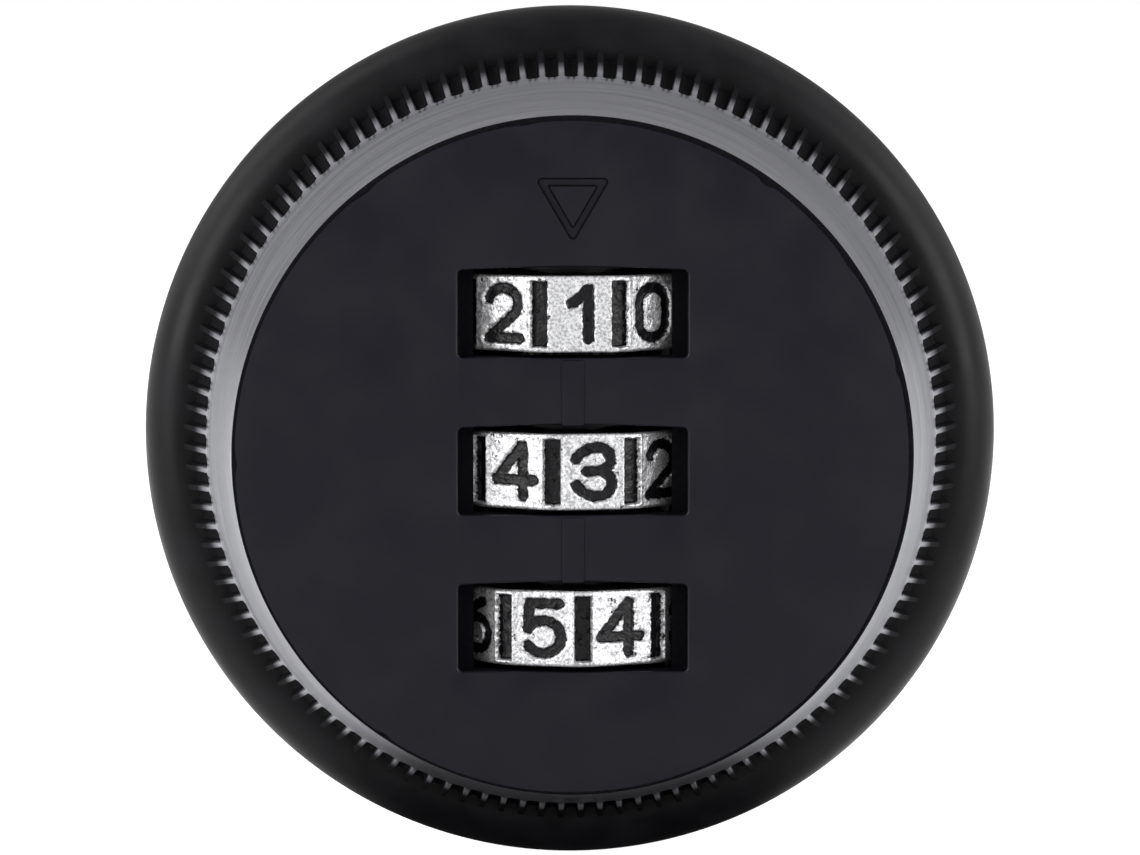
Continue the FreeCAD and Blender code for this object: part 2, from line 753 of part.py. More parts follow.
def make_dial(doc, s, name, centre, angle):
    """Ten-sided ring with its detent boss below and the clutch socket above."""
    piece = Piece(doc, f"dial_{name}")
    bind(piece.body, "Placement.Base.y", -s.dial_axis_height)
    bind(piece.body, "Placement.Base.z", centre)
    half = s.dial_width / 2
    low = -half - s.detent_width
    profile = piece.sketch("profile", "XZ_Plane")
    outline(profile, [
        (s.dial_bore_radius, low), (s.detent_radius, low), (s.detent_radius, -half),
        (s.dial_radius - s.dial_edge, -half), (s.dial_radius, s.dial_edge - half),
        (s.dial_radius, half - s.dial_edge), (s.dial_radius - s.dial_edge, half),
        (s.socket_radius, half), (s.socket_radius, half - s.socket_depth),
        (s.dial_bore_radius, half - s.socket_depth),
    ])
    piece.turn(profile, "ring")
    half_step = FULL_TURN / 2 / s.digit_count
    facing = angle - QUARTER_TURN
    flat = piece.sketch("flat", level=half)
    depth_radius = s.dial_radius - s.dial_flat_depth
    side = s.dial_radius * sine(half_step)
    reach = s.dial_radius + OVERCUT
    outline(flat, turned([(depth_radius, -side), (reach, -side), (reach, side), (depth_radius, side)],
                         facing))
    piece.around(piece.pocket(flat, s.dial_width, "flat_cut"), s.digit_count, "flats")
    grip = piece.sketch("grip", level=half - s.grip_end)
    depth_radius = s.dial_radius - s.grip_depth
    side = s.grip_width / 2
    outline(grip, turned([(depth_radius, -side), (reach, -side), (reach, side), (depth_radius, side)],
                         facing + half_step))
    piece.around(piece.pocket(grip, s.dial_width - s.grip_end * 2, "grip_cut"), s.digit_count, "grips")
    scallop = piece.sketch("scallop", level=low)
    circle(scallop, s.scallop_radius, x=s.scallop_offset)
    piece.around(piece.pocket(scallop, s.detent_width, "scallop_cut", forward=True),
                 s.digit_count, "scallops")
    key = piece.sketch("key_slot", level=half)
    box(key, s.dial_bore_radius, s.key_slot_radius, -s.key_slot_width / 2, s.key_slot_width / 2)
    piece.around(piece.pocket(key, s.socket_depth, "key_slot_cut"), s.digit_count, "key_slots")
    return piece


def make_sleeve(doc, s, name, centre):
    """Clutch sleeve: tube, gate disc with its gate at the back, and two drive lugs."""
    piece = Piece(doc, f"sleeve_{name}")
    bind(piece.body, "Placement.Base.y", -s.dial_axis_height)
    bind(piece.body, "Placement.Base.z", centre)
    bore = s.spindle_radius + s.spindle_gap
    disc_low, disc_high = gate_disc_span(s)
    lug_low = s.dial_width / 2 - s.socket_depth + s.lug_end_gap
    profile = piece.sketch("profile", "XZ_Plane")
    outline(profile, [
        (bore, sleeve_bottom(s)), (s.tube_radius, sleeve_bottom(s)), (s.tube_radius, lug_low),
        (s.lug_ring_radius, lug_low), (s.lug_ring_radius, disc_low),
        (s.gate_disc_radius, disc_low), (s.gate_disc_radius, disc_high), (bore, disc_high),
    ])
    piece.turn(profile, "tube_and_disc")
    lugs = piece.sketch("lugs", level=lug_low)
    half = s.lug_width / 2
    box(lugs, s.tube_radius, s.lug_radius, -half, half)
    box(lugs, -s.lug_radius, -s.tube_radius, -half, half)
    piece.pad(lugs, disc_low - lug_low, "lug_pads")
    gate = piece.sketch("gate", level=disc_high)
    half = s.gate_width / 2
    box(gate, -half, half, s.gate_radius, s.gate_disc_radius + OVERCUT)
    piece.pocket(gate, s.gate_disc_thickness, "gate_cut")
    return piece


def make_spindle(doc, s):
    """Axle of the dials, with the collar and the plunger that push the sleeves up."""
    piece = Piece(doc, "spindle")
    bind(piece.body, "Placement.Base.y", -s.dial_axis_height)
    collar_top = s.dial_centre - s.dial_pitch + sleeve_bottom(s) - s.sleeve_end_gap
    collar_low = collar_top - s.collar_thickness
    chamfer = s.spindle_chamfer
    profile = piece.sketch("profile", "XZ_Plane")
    outline(profile, [
        (0, -s.plunger_end), (s.plunger_radius, -s.plunger_end), (s.plunger_radius, collar_low),
        (s.collar_radius, collar_low), (s.collar_radius, collar_top),
        (s.spindle_radius, collar_top), (s.spindle_radius, s.spindle_top - chamfer),
        (s.spindle_radius - chamfer, s.spindle_top), (0, s.spindle_top),
    ])
    piece.turn(profile, "axle")
    return piece


def make_spring(doc, label, placement, radius, wire, height, turns):
    """Square-wire compression spring, wound up from its lower end."""
    piece = Piece(doc, label, placement)
    section = piece.sketch("section", "XZ_Plane")
    box(section, radius - wire / 2, radius + wire / 2, 0, wire)
    piece.coil(section, height - wire, turns, "coil")
    return piece


def make_clutch_spring(doc, s):
    """Spring round the spindle, between the top sleeve and the upper arch."""
    low = s.dial_centre + s.dial_pitch + gate_disc_span(s)[1] + s.spring_end_gap
    height = s.upper_arch_start - s.spring_end_gap - low
    piece = make_spring(doc, "clutch_spring", None, s.clutch_coil_radius, s.clutch_wire,
                        height, s.clutch_turns)
    bind(piece.body, "Placement.Base.y", -s.dial_axis_height)
    bind(piece.body, "Placement.Base.z", low)
    return piece


def make_plate_springs(doc, s):
    """Two small springs between the locking plate and the roofs of the arches."""
    upper, lower = foot_places(s)
    low = plate_bottom(s) + s.plate_thickness + s.spring_end_gap
    height = s.arch_roof - s.spring_end_gap - low
    for name, place in (("upper", upper), ("lower", -lower)):
        piece = make_spring(doc, f"plate_spring_{name}", FACING, s.plate_coil_radius, s.plate_wire,
                            height, s.plate_turns)
        bind(piece.body, "Placement.Base.y", -low)
        bind(piece.body, "Placement.Base.z", place)


def make_detent_spring(doc, s, name, centre):
    """Leaf spring with a foot on the rotor and a bump in the dial's scallop."""
    piece = Piece(doc, f"detent_spring_{name}")
    bind(piece.body, "Placement.Base.z", centre - s.dial_width / 2 - s.detent_width / 2 - s.leaf_width / 2)
    left = s.scallop_offset
    right = left + s.leaf_thickness
    axis = s.dial_axis_height
    bump = s.leaf_bump_radius
    foot = s.rotor_front_height
    profile = piece.sketch("profile")
    outline(
        profile,
        [
            (left, -foot), (left, -axis + bump), (left, -axis - bump), (left, -s.leaf_top_height),
            (right, -s.leaf_top_height), (right, -foot - s.leaf_thickness),
            (right + s.leaf_foot, -foot - s.leaf_thickness), (right + s.leaf_foot, -foot),
        ],
        arcs={1: HALF_CIRCLE},
    )
    piece.pad(profile, s.leaf_width, "leaf")
    return piece


def make_locking_plate(doc, s):
    """Plate with three fingers for the gates and two feet for the ramps."""
    piece = Piece(doc, "locking_plate", FACING)
    upper, lower = foot_places(s)
    low = plate_bottom(s)
    half = s.plate_width / 2
    end = s.arch_thickness / 2
    web = piece.sketch("web", level=low)
    box(web, -half, half, -lower - end, upper + end)
    piece.pad(web, s.plate_thickness, "web_pad")
    fingers = piece.sketch("fingers", level=low)
    disc_low, disc_high = gate_disc_span(s)
    half = s.finger_width / 2
    for _, centre, _ in dial_places(s):
        middle = centre + (disc_low + disc_high) / 2
        box(fingers, -half, half, middle - s.finger_thickness / 2, middle + s.finger_thickness / 2)
    tip = s.dial_axis_height - s.gate_disc_radius - s.finger_gap
    piece.pad(fingers, tip - low, "finger_pads")
    feet = piece.sketch("feet", level=low)
    half = s.foot_width / 2
    for middle in (upper, -lower):
        box(feet, -half, half, middle - s.foot_thickness / 2, middle + s.foot_thickness / 2)
    drop = low - (s.floor_height - s.plate_lift) - s.foot_gap
    piece.pad(feet, drop, "foot_pads", back=True)
    return piece


def make_thrust_washer(doc, s):
    """Plastic washer between the housing floor and the rotor disc."""
    piece = Piece(doc, "thrust_washer", FACING)
    low = s.floor_height - s.thrust_seat_depth
    section = piece.sketch("section", "XZ_Plane")
    box(section, s.thrust_hole_radius, s.thrust_radius, low, low + s.thrust_thickness)
    piece.turn(section, "ring")
    return piece


def make_stop_washer(doc, s):
    """Washer on the square drive whose tab runs in the barrel's notch."""
    piece = Piece(doc, "stop_washer", FACING)
    disc = piece.sketch("disc", level=-s.stem_length)
    circle(disc, s.stop_radius)
    piece.pad(disc, s.stop_thickness, "disc_pad", back=True)
    tab = piece.sketch("tab", level=-s.stem_length)
    half = s.stop_tab_width / 2
    inner, outer = s.stop_radius / 2, s.stop_tab_radius
    outline(tab, turned([(inner, -half), (outer, -half), (outer, half), (inner, half)],
                        s.turn_angle / 2 + QUARTER_TURN))
    piece.pad(tab, s.stop_thickness, "tab_pad", back=True)
    square_hole(piece, s, -s.stem_length, s.stop_thickness)
    return piece


def square_hole(piece, s, front, thickness):
    """Cut the hole that fits the square drive, back from a face at the given height."""
    half = s.square_side / 2 + s.square_gap
    hole = piece.sketch("square", level=front)
    box(hole, -half, half, -half, half)
    piece.pocket(hole, thickness, "square_cut")


def make_cam(doc, s):
    """Steel tongue: a round head on the square drive and an arm that points down."""
    piece = Piece(doc, "cam", FACING)
    front = -(s.stem_length + s.stop_thickness)
    head = piece.sketch("head", level=front)
    circle(head, s.cam_head_radius)
    piece.pad(head, s.cam_thickness, "head_pad", back=True)
    arm = piece.sketch("arm", level=front)
    half = s.cam_width / 2
    corner = s.cam_corner
    reach = s.cam_reach
    outline(
        arm,
        [(-half, 0), (-half, corner - reach), (corner - half, -reach), (half - corner, -reach),
         (half, corner - reach), (half, 0)],
        arcs={1: corner, 3: corner},
    )
    piece.pad(arm, s.cam_thickness, "arm_pad", back=True)
    square_hole(piece, s, front, s.cam_thickness)
    return piece


def cam_back(s):
    """Return the depth of the cam's back face."""
    return s.stem_length + s.stop_thickness + s.cam_thickness


def make_cam_washer(doc, s):
    """Split spring washer under the cam screw's head."""
    piece = Piece(doc, "cam_washer", FACING)
    back = cam_back(s) + s.cam_washer_thickness
    section = piece.sketch("section", "XZ_Plane")
    inner = s.thread_radius + s.screw_clearance
    box(section, inner, s.cam_washer_radius, -back, -cam_back(s))
    piece.turn(section, "ring")
    split = piece.sketch("split", level=-back)
    side = s.cam_washer_split / 2
    box(split, inner / 2, s.cam_washer_radius + OVERCUT, -side, side)
    piece.pocket(split, s.cam_washer_thickness, "split_cut", forward=True)
    return piece


def make_cam_screw(doc, s):
    """Hexagon screw that clamps the cam on the square drive."""
    piece = Piece(doc, "cam_screw", FACING)
    front = cam_back(s) + s.cam_washer_thickness
    hexagon_head(piece, s.cam_screw_flats, -front, s.cam_screw_head, s.head_chamfer)
    shank = piece.sketch("shank", level=-front)
    circle(shank, s.thread_radius - s.cam_screw_gap)
    piece.pad(shank, s.cam_screw_length, "shank_pad")
    return piece


def hexagon_head(piece, flats, front, thickness, chamfer):
    """Pad a hexagon backwards from a height and turn its back corners off."""
    corner = flats / 2 / cosine(FULL_TURN / HEXAGON_SIDES / 2)
    sides = piece.sketch("hexagon", level=front)
    polygon(sides, corner, HEXAGON_SIDES)
    piece.pad(sides, thickness, "hexagon_pad", back=True)
    back = front - thickness
    wedge = piece.sketch("corners", "XZ_Plane")
    edge = flats / 2
    outline(wedge, [(edge, back), (edge + chamfer + chamfer, back - OVERCUT),
                    (corner + OVERCUT, back - OVERCUT),
                    (corner + OVERCUT, back + chamfer + OVERCUT / 2)])
    piece.turn(wedge, "corner_cut", cut=True)


def make_mounting_nut(doc, s):
    """Hexagon nut that clamps the lock in its panel."""
    piece = Piece(doc, "mounting_nut", FACING)
    front = -(s.panel_thickness + s.lock_washer_thickness)
    hexagon_head(piece, s.nut_flats, front, s.nut_thickness, s.nut_chamfer)
    hole = piece.sketch("hole", level=front)
    circle(hole, s.barrel_radius + s.nut_gap)
    piece.pocket(hole, s.nut_thickness, "hole_cut")
    return piece


def make_lock_washer(doc, s):
    """Washer with teeth round its edge, between the panel and the nut."""
    piece = Piece(doc, "lock_washer", FACING)
    back = s.panel_thickness + s.lock_washer_thickness
    section = piece.sketch("section", "XZ_Plane")
    box(section, s.barrel_radius + s.nut_gap, s.lock_washer_radius, -back, -s.panel_thickness)
    piece.turn(section, "ring")
    gap = piece.sketch("tooth_gap", level=-back)
    half = s.lock_washer_tooth_width / 2
    box(gap, s.lock_washer_radius - s.lock_washer_tooth_depth, s.lock_washer_radius + OVERCUT,
        -half, half)
    piece.around(piece.pocket(gap, s.lock_washer_thickness, "gap_cut", forward=True),
                 s.lock_washer_teeth, "teeth")
    return piece


def build(doc):
    """Build every sub-part of the lock."""
    s = derive(make_sheet(doc))
    make_housing(doc, s)
    make_knob_cover(doc, s)
    make_rotor(doc, s)
    make_cover_screws(doc, s)
    for name, centre, angle in dial_places(s):
        make_dial(doc, s, name, centre, angle)
        make_sleeve(doc, s, name, centre)
        make_detent_spring(doc, s, name, centre)
    make_spindle(doc, s)
    make_clutch_spring(doc, s)
    make_locking_plate(doc, s)
    make_plate_springs(doc, s)
    make_thrust_washer(doc, s)
    make_stop_washer(doc, s)
    make_cam(doc, s)
    make_cam_washer(doc, s)
    make_cam_screw(doc, s)
    make_lock_washer(doc, s)
    make_mounting_nut(doc, s)
    doc.recompute()


def check(doc):
    """Stop with a message if an object failed or a piece has no valid shape."""
    failed = [item.Label for item in doc.Objects if {"Invalid", "Error"} & set(item.State)]
    bodies = [item for item in doc.Objects if item.isDerivedFrom("PartDesign::Body")]
    bad = [item.Label for item in bodies if item.Shape.isNull() or not item.Shape.isValid()]
    if failed or bad:
        raise RuntimeError(f"failed objects {failed}, bad shapes {bad}")
    return bodies


def export(bodies):
    """Write each piece to its own STEP file."""
    os.makedirs("parts", exist_ok=True)
    for body in bodies:
        body.Shape.exportStep(f"parts/{body.Label}.step")
        print(f"{body.Label}: {len(body.Shape.Solids)} solid, {body.Shape.Volume:.1f} cubic mm")


document = FreeCAD.newDocument("combination_cam_lock")
build(document)
export(check(document))
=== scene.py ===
"""Looks of a keyless combination cam lock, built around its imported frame.

The lock's axis is Y and its face looks along -Y. A height runs from the flange's back
plane towards the face, so it is -y, and a depth runs the other way. Sizes are written in
millimetres and become metres through MM, because every object here is in metres.
"""

import logging
import math
from dataclasses import dataclass, field
from enum import Enum, IntEnum

import bmesh
import bpy
import numpy as np
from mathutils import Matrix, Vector, geometry


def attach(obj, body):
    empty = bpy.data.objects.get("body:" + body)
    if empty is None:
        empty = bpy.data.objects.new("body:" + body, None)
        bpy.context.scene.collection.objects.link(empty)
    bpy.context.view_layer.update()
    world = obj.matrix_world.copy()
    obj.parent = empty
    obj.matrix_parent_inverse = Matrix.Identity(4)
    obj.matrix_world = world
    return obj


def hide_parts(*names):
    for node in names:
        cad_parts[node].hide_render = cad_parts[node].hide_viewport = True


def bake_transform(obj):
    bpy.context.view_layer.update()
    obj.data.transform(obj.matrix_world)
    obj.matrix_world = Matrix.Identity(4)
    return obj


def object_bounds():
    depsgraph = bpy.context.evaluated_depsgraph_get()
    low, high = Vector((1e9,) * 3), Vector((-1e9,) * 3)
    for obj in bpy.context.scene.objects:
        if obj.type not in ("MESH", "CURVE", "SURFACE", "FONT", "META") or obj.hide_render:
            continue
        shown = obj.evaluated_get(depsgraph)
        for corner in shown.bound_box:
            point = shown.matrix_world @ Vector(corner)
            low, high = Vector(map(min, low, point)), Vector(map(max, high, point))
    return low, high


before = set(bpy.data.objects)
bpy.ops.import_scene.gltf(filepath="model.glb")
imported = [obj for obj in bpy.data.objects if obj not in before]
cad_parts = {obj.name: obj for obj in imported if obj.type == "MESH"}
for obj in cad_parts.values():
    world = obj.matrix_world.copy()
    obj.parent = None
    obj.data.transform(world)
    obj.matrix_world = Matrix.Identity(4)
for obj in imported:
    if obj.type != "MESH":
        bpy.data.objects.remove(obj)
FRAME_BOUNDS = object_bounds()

MM = 0.001
FULL_TURN = 2 * math.pi
TINY = 1e-12
FLAT_TOLERANCE = 1e-6
WELD_DISTANCE = 0.0005 * MM
SHARP_ANGLE = 35.0
WHITE = (1.0, 1.0, 1.0, 1.0)

Array = np.ndarray
log = logging.getLogger("cam_lock")


class Body(str, Enum):
    """The moving bodies of the frame that new pieces ride on."""

    HOUSING = "body"
    KNOB = "knob"
    TOP_DIAL = "top_dial"
    MIDDLE_DIAL = "middle_dial"
    BOTTOM_DIAL = "bottom_dial"
    SPINDLE = "spindle"
    LOCKING_PLATE = "locking_plate"


class Slot(str, Enum):
    """The material slots of the part."""

    CAST_BLACK = "black_cast_metal"
    SATIN_BLACK = "black_satin_metal"
    CHROME = "chromed_dial"
    ZINC = "zinc_steel"
    SPRING = "spring_steel"


class Coat(IntEnum):
    """The knob's finishes, in the order of its materials."""

    SATIN = 0
    BRUSHED = 1
    DULL = 2


def smooth_step(low: float, high: float, value: Array) -> Array:
    """Rise smoothly from 0 at low to 1 at high, as 3t^2 - 2t^3.

    Args:
        low: where the rise starts.
        high: where it ends.
        value: the places to work it out at.

    Returns:
        The rise at each place.
    """
    share = np.clip((value - low) / (high - low), 0.0, 1.0)
    return share * share * (3.0 - 2.0 * share)


def about_axis(radius: Array, height: Array, angle: Array) -> Array:
    """Turn radius, height and angle about the lock's axis into points in metres.

    x is the radius times the cosine of the angle, y is minus the height, and z is the
    radius times the sine.

    Args:
        radius: distances from the axis in millimetres.
        height: heights towards the face in millimetres.
        angle: angles in radians from +X towards +Z.

    Returns:
        An array of points, with one more axis than the inputs.
    """
    radius, height, angle = np.broadcast_arrays(radius, height, angle)
    return np.stack([radius * np.cos(angle), -height, radius * np.sin(angle)], axis=-1) * MM


def on_plane(loop: Array, height: float) -> Array:
    """Lift a flat loop of x and z, in millimetres, to points in metres at a height."""
    return np.stack([loop[:, 0], np.full(len(loop), -height), loop[:, 1]], axis=-1) * MM


def columns_of(count: int) -> Array:
    """Give evenly spaced angles for the columns of a turned grid, as one row."""
    return (np.arange(count) * FULL_TURN / count)[None, :]


def quarter_turn(steps: int) -> Array:
    """Give evenly spaced angles over a quarter turn, as one column."""
    return np.linspace(0.0, math.pi / 2, steps)[:, None]


def grid_faces(rows: int, columns: int, close_rows: bool = False) -> Array:
    """Number the quads of a grid whose columns run all round.

    Args:
        rows: how many rows of points there are.
        columns: how many points a row has.
        close_rows: whether the last row joins the first.

    Returns:
        The four corner numbers of each quad.
    """
    row = np.arange(rows if close_rows else rows - 1)[:, None]
    column = np.arange(columns)[None, :]
    row_after, column_after = (row + 1) % rows, (column + 1) % columns
    corners = (
        row * columns + column,
        row * columns + column_after,
        row_after * columns + column_after,
        row_after * columns + column,
    )
    return np.stack(np.broadcast_arrays(*corners), axis=-1).reshape(-1, 4)


@dataclass
class Patch:
    """One stretch of surface: its points, its faces, its finish and its paint, whose black is in places
    painted shade.
    """

    points: Array
    faces: Array
    finish: int = 0
    paint: Array | None = None

    @classmethod
    def turned(cls, points: Array, close_rows: bool = False, finish: int = 0) -> "Patch":
        """Make a patch from a grid of rows and columns that runs all round."""
        rows, columns = points.shape[:2]
        return cls(points.reshape(-1, 3), grid_faces(rows, columns, close_rows), finish)

    @classmethod
    def strip(cls, levels: list[tuple[Array, float]], finish: int = 0) -> "Patch":
        """Make a patch that joins flat loops of equally many points, each at its height."""
        return cls.turned(np.stack([on_plane(loop, height) for loop, height in levels]), finish=finish)


def inside(points: Array, loop: Array) -> Array:
    """Say which points lie in a loop, by counting the edges that a ray to +x crosses.

    Args:
        points: x and z of the points.
        loop: x and z of the loop's corners.

    Returns:
        True for each point that lies inside.
    """
    after = np.roll(loop, -1, axis=0)
    x, z = points[:, :1], points[:, 1:]
    spans = (loop[:, 1] > z) != (after[:, 1] > z)
    rise = after[:, 1] - loop[:, 1]
    rise = np.where(rise == 0, TINY, rise)
    meets = loop[:, 0] + (z - loop[:, 1]) * (after[:, 0] - loop[:, 0]) / rise
    return (spans & (x < meets)).sum(axis=1) % 2 == 1


def flat_region(outer: Array, holes: list[Array], height: float) -> Patch:
    """Fill the flat space between a loop and the holes in it with triangles.

    Args:
        outer: x and z of the outer loop, in millimetres.
        holes: x and z of each hole's loop.
        height: the plane's height.

    Returns:
        The patch.
    """
    loops = [outer, *holes]
    edges, start = [], 0
    for loop in loops:
        numbers = np.arange(len(loop)) + start
        edges.append(np.stack([numbers, np.roll(numbers, -1)], axis=-1))
        start += len(loop)
    corners = [Vector(corner) for corner in np.concatenate(loops)]
    made = geometry.delaunay_2d_cdt(corners, np.concatenate(edges).tolist(), [], 0, FLAT_TOLERANCE)
    flat = np.array([tuple(corner) for corner in made[0]])
    triangles = np.array(made[2])
    middle = flat[triangles].mean(axis=1)
    kept = inside(middle, outer)
    for hole in holes:
        kept &= ~inside(middle, hole)
    return Patch(on_plane(flat, height), triangles[kept])


def normals_of(corners: Array) -> tuple[Array, Array]:
    """Give the outward normals of the edges before and after each corner, anticlockwise."""
    edge = np.roll(corners, -1, axis=0) - corners
    edge = edge / np.linalg.norm(edge, axis=1, keepdims=True)
    after = np.stack([edge[:, 1], -edge[:, 0]], axis=-1)
    return np.roll(after, 1, axis=0), after


def inset(corners: Array, distance: float) -> Array:
    """Move the corners of a convex outline in, so that each edge moves by a distance."""
    before, after = normals_of(corners)
    share = 1.0 + (before * after).sum(axis=1, keepdims=True)
    return corners - distance * (before + after) / share


def round_loop(corners: Array, radius: float, grow: float = 0.0, steps: int = 6) -> Array:
    """Run a loop round a convex outline with round corners.

    Each corner's arc has its centre where both edges are a radius away, and sweeps from
    the normal of one edge to the normal of the next, at that radius plus the growth.

    Args:
        corners: the outline's corners, anticlockwise.
        radius: the corners' radius.
        grow: how far the loop lies outside the outline.
        steps: how many points a corner has.

    Returns:
        The loop's points.
    """
    before, after = normals_of(corners)
    centre = inset(corners, radius)
    start = np.arctan2(before[:, 1], before[:, 0])
    turn = (np.arctan2(after[:, 1], after[:, 0]) - start) % FULL_TURN
    angle = start[:, None] + turn[:, None] * np.linspace(0.0, 1.0, steps)
    arc = np.stack([np.cos(angle), np.sin(angle)], axis=-1) * (radius + grow)
    return (centre[:, None, :] + arc).reshape(-1, 2)


def circle_loop(radius: float, centre: tuple[float, float], count: int = 48) -> Array:
    """Run a loop round a circle, anticlockwise."""
    angle = np.arange(count) * FULL_TURN / count
    return np.stack([centre[0] + radius * np.cos(angle), centre[1] + radius * np.sin(angle)], axis=-1)


def rectangle(width: float, low: float, high: float) -> Array:
    """Give the corners of an upright rectangle about x = 0, anticlockwise."""
    half = width / 2
    return np.array([(-half, low), (half, low), (half, high), (-half, high)])


def stand(name: str, data: bpy.types.ID) -> bpy.types.Object:
    """Make an object of a mesh, a light or a camera and link it to the scene."""
    made = bpy.data.objects.new(name, data)
    bpy.context.scene.collection.objects.link(made)
    return made


def shade(mesh: bpy.types.Mesh, sharp_angle: float = SHARP_ANGLE) -> None:
    """Shade a mesh smooth, with its edges over an angle in degrees kept sharp."""
    mesh.polygons.foreach_set("use_smooth", np.ones(len(mesh.polygons), dtype=bool))
    mesh.set_sharp_from_angle(angle=math.radians(sharp_angle))


def close_up(mesh: bpy.types.Mesh) -> None:
    """Merge a mesh's doubles and turn its faces outwards."""
    work = bmesh.new()
    work.from_mesh(mesh)
    bmesh.ops.remove_doubles(work, verts=work.verts, dist=WELD_DISTANCE)
    bmesh.ops.recalc_face_normals(work, faces=work.faces)
    work.to_mesh(mesh)
    work.free()


def weld(name: str, patches: list[Patch], sharp_angle: float = SHARP_ANGLE) -> bpy.types.Object:
    """Join patches that meet edge to edge into one closed piece.

    Args:
        name: the piece's name.
        patches: its stretches of surface.
        sharp_angle: the angle in degrees past which an edge stays sharp.

    Returns:
        The piece's object.
    """
    mesh = bpy.data.meshes.new(name)
    points = np.concatenate([patch.points for patch in patches])
    mesh.vertices.add(len(points))
    mesh.vertices.foreach_set("co", points.astype(np.float32).ravel())
    offsets = np.cumsum([0] + [len(patch.points) for patch in patches])
    corners = np.concatenate([(patch.faces + start).ravel() for patch, start in zip(patches, offsets)])
    sizes = np.concatenate([np.full(len(patch.faces), patch.faces.shape[1]) for patch in patches])
    finishes = np.concatenate([np.full(len(patch.faces), patch.finish) for patch in patches])
    mesh.loops.add(len(corners))
    mesh.loops.foreach_set("vertex_index", corners.astype(np.int32))
    mesh.polygons.add(len(sizes))
    mesh.polygons.foreach_set("loop_start", (np.cumsum(sizes) - sizes).astype(np.int32))
    mesh.polygons.foreach_set("material_index", finishes.astype(np.int32))
    mesh.update(calc_edges=True)
    if any(patch.paint is not None for patch in patches):
        layer = mesh.attributes.new("paint", "FLOAT", "POINT")
        paint = [np.zeros(len(p.points)) if p.paint is None else p.paint for p in patches]
        layer.data.foreach_set("value", np.concatenate(paint).astype(np.float32))
    close_up(mesh)
    shade(mesh, sharp_angle)
    return stand(name, mesh)


def bake_modifiers(piece: bpy.types.Object) -> None:
    """Apply a piece's modifiers to its mesh."""
    graph = bpy.context.evaluated_depsgraph_get()
    result = bpy.data.meshes.new_from_object(piece.evaluated_get(graph))
    piece.modifiers.clear()
    piece.data = result


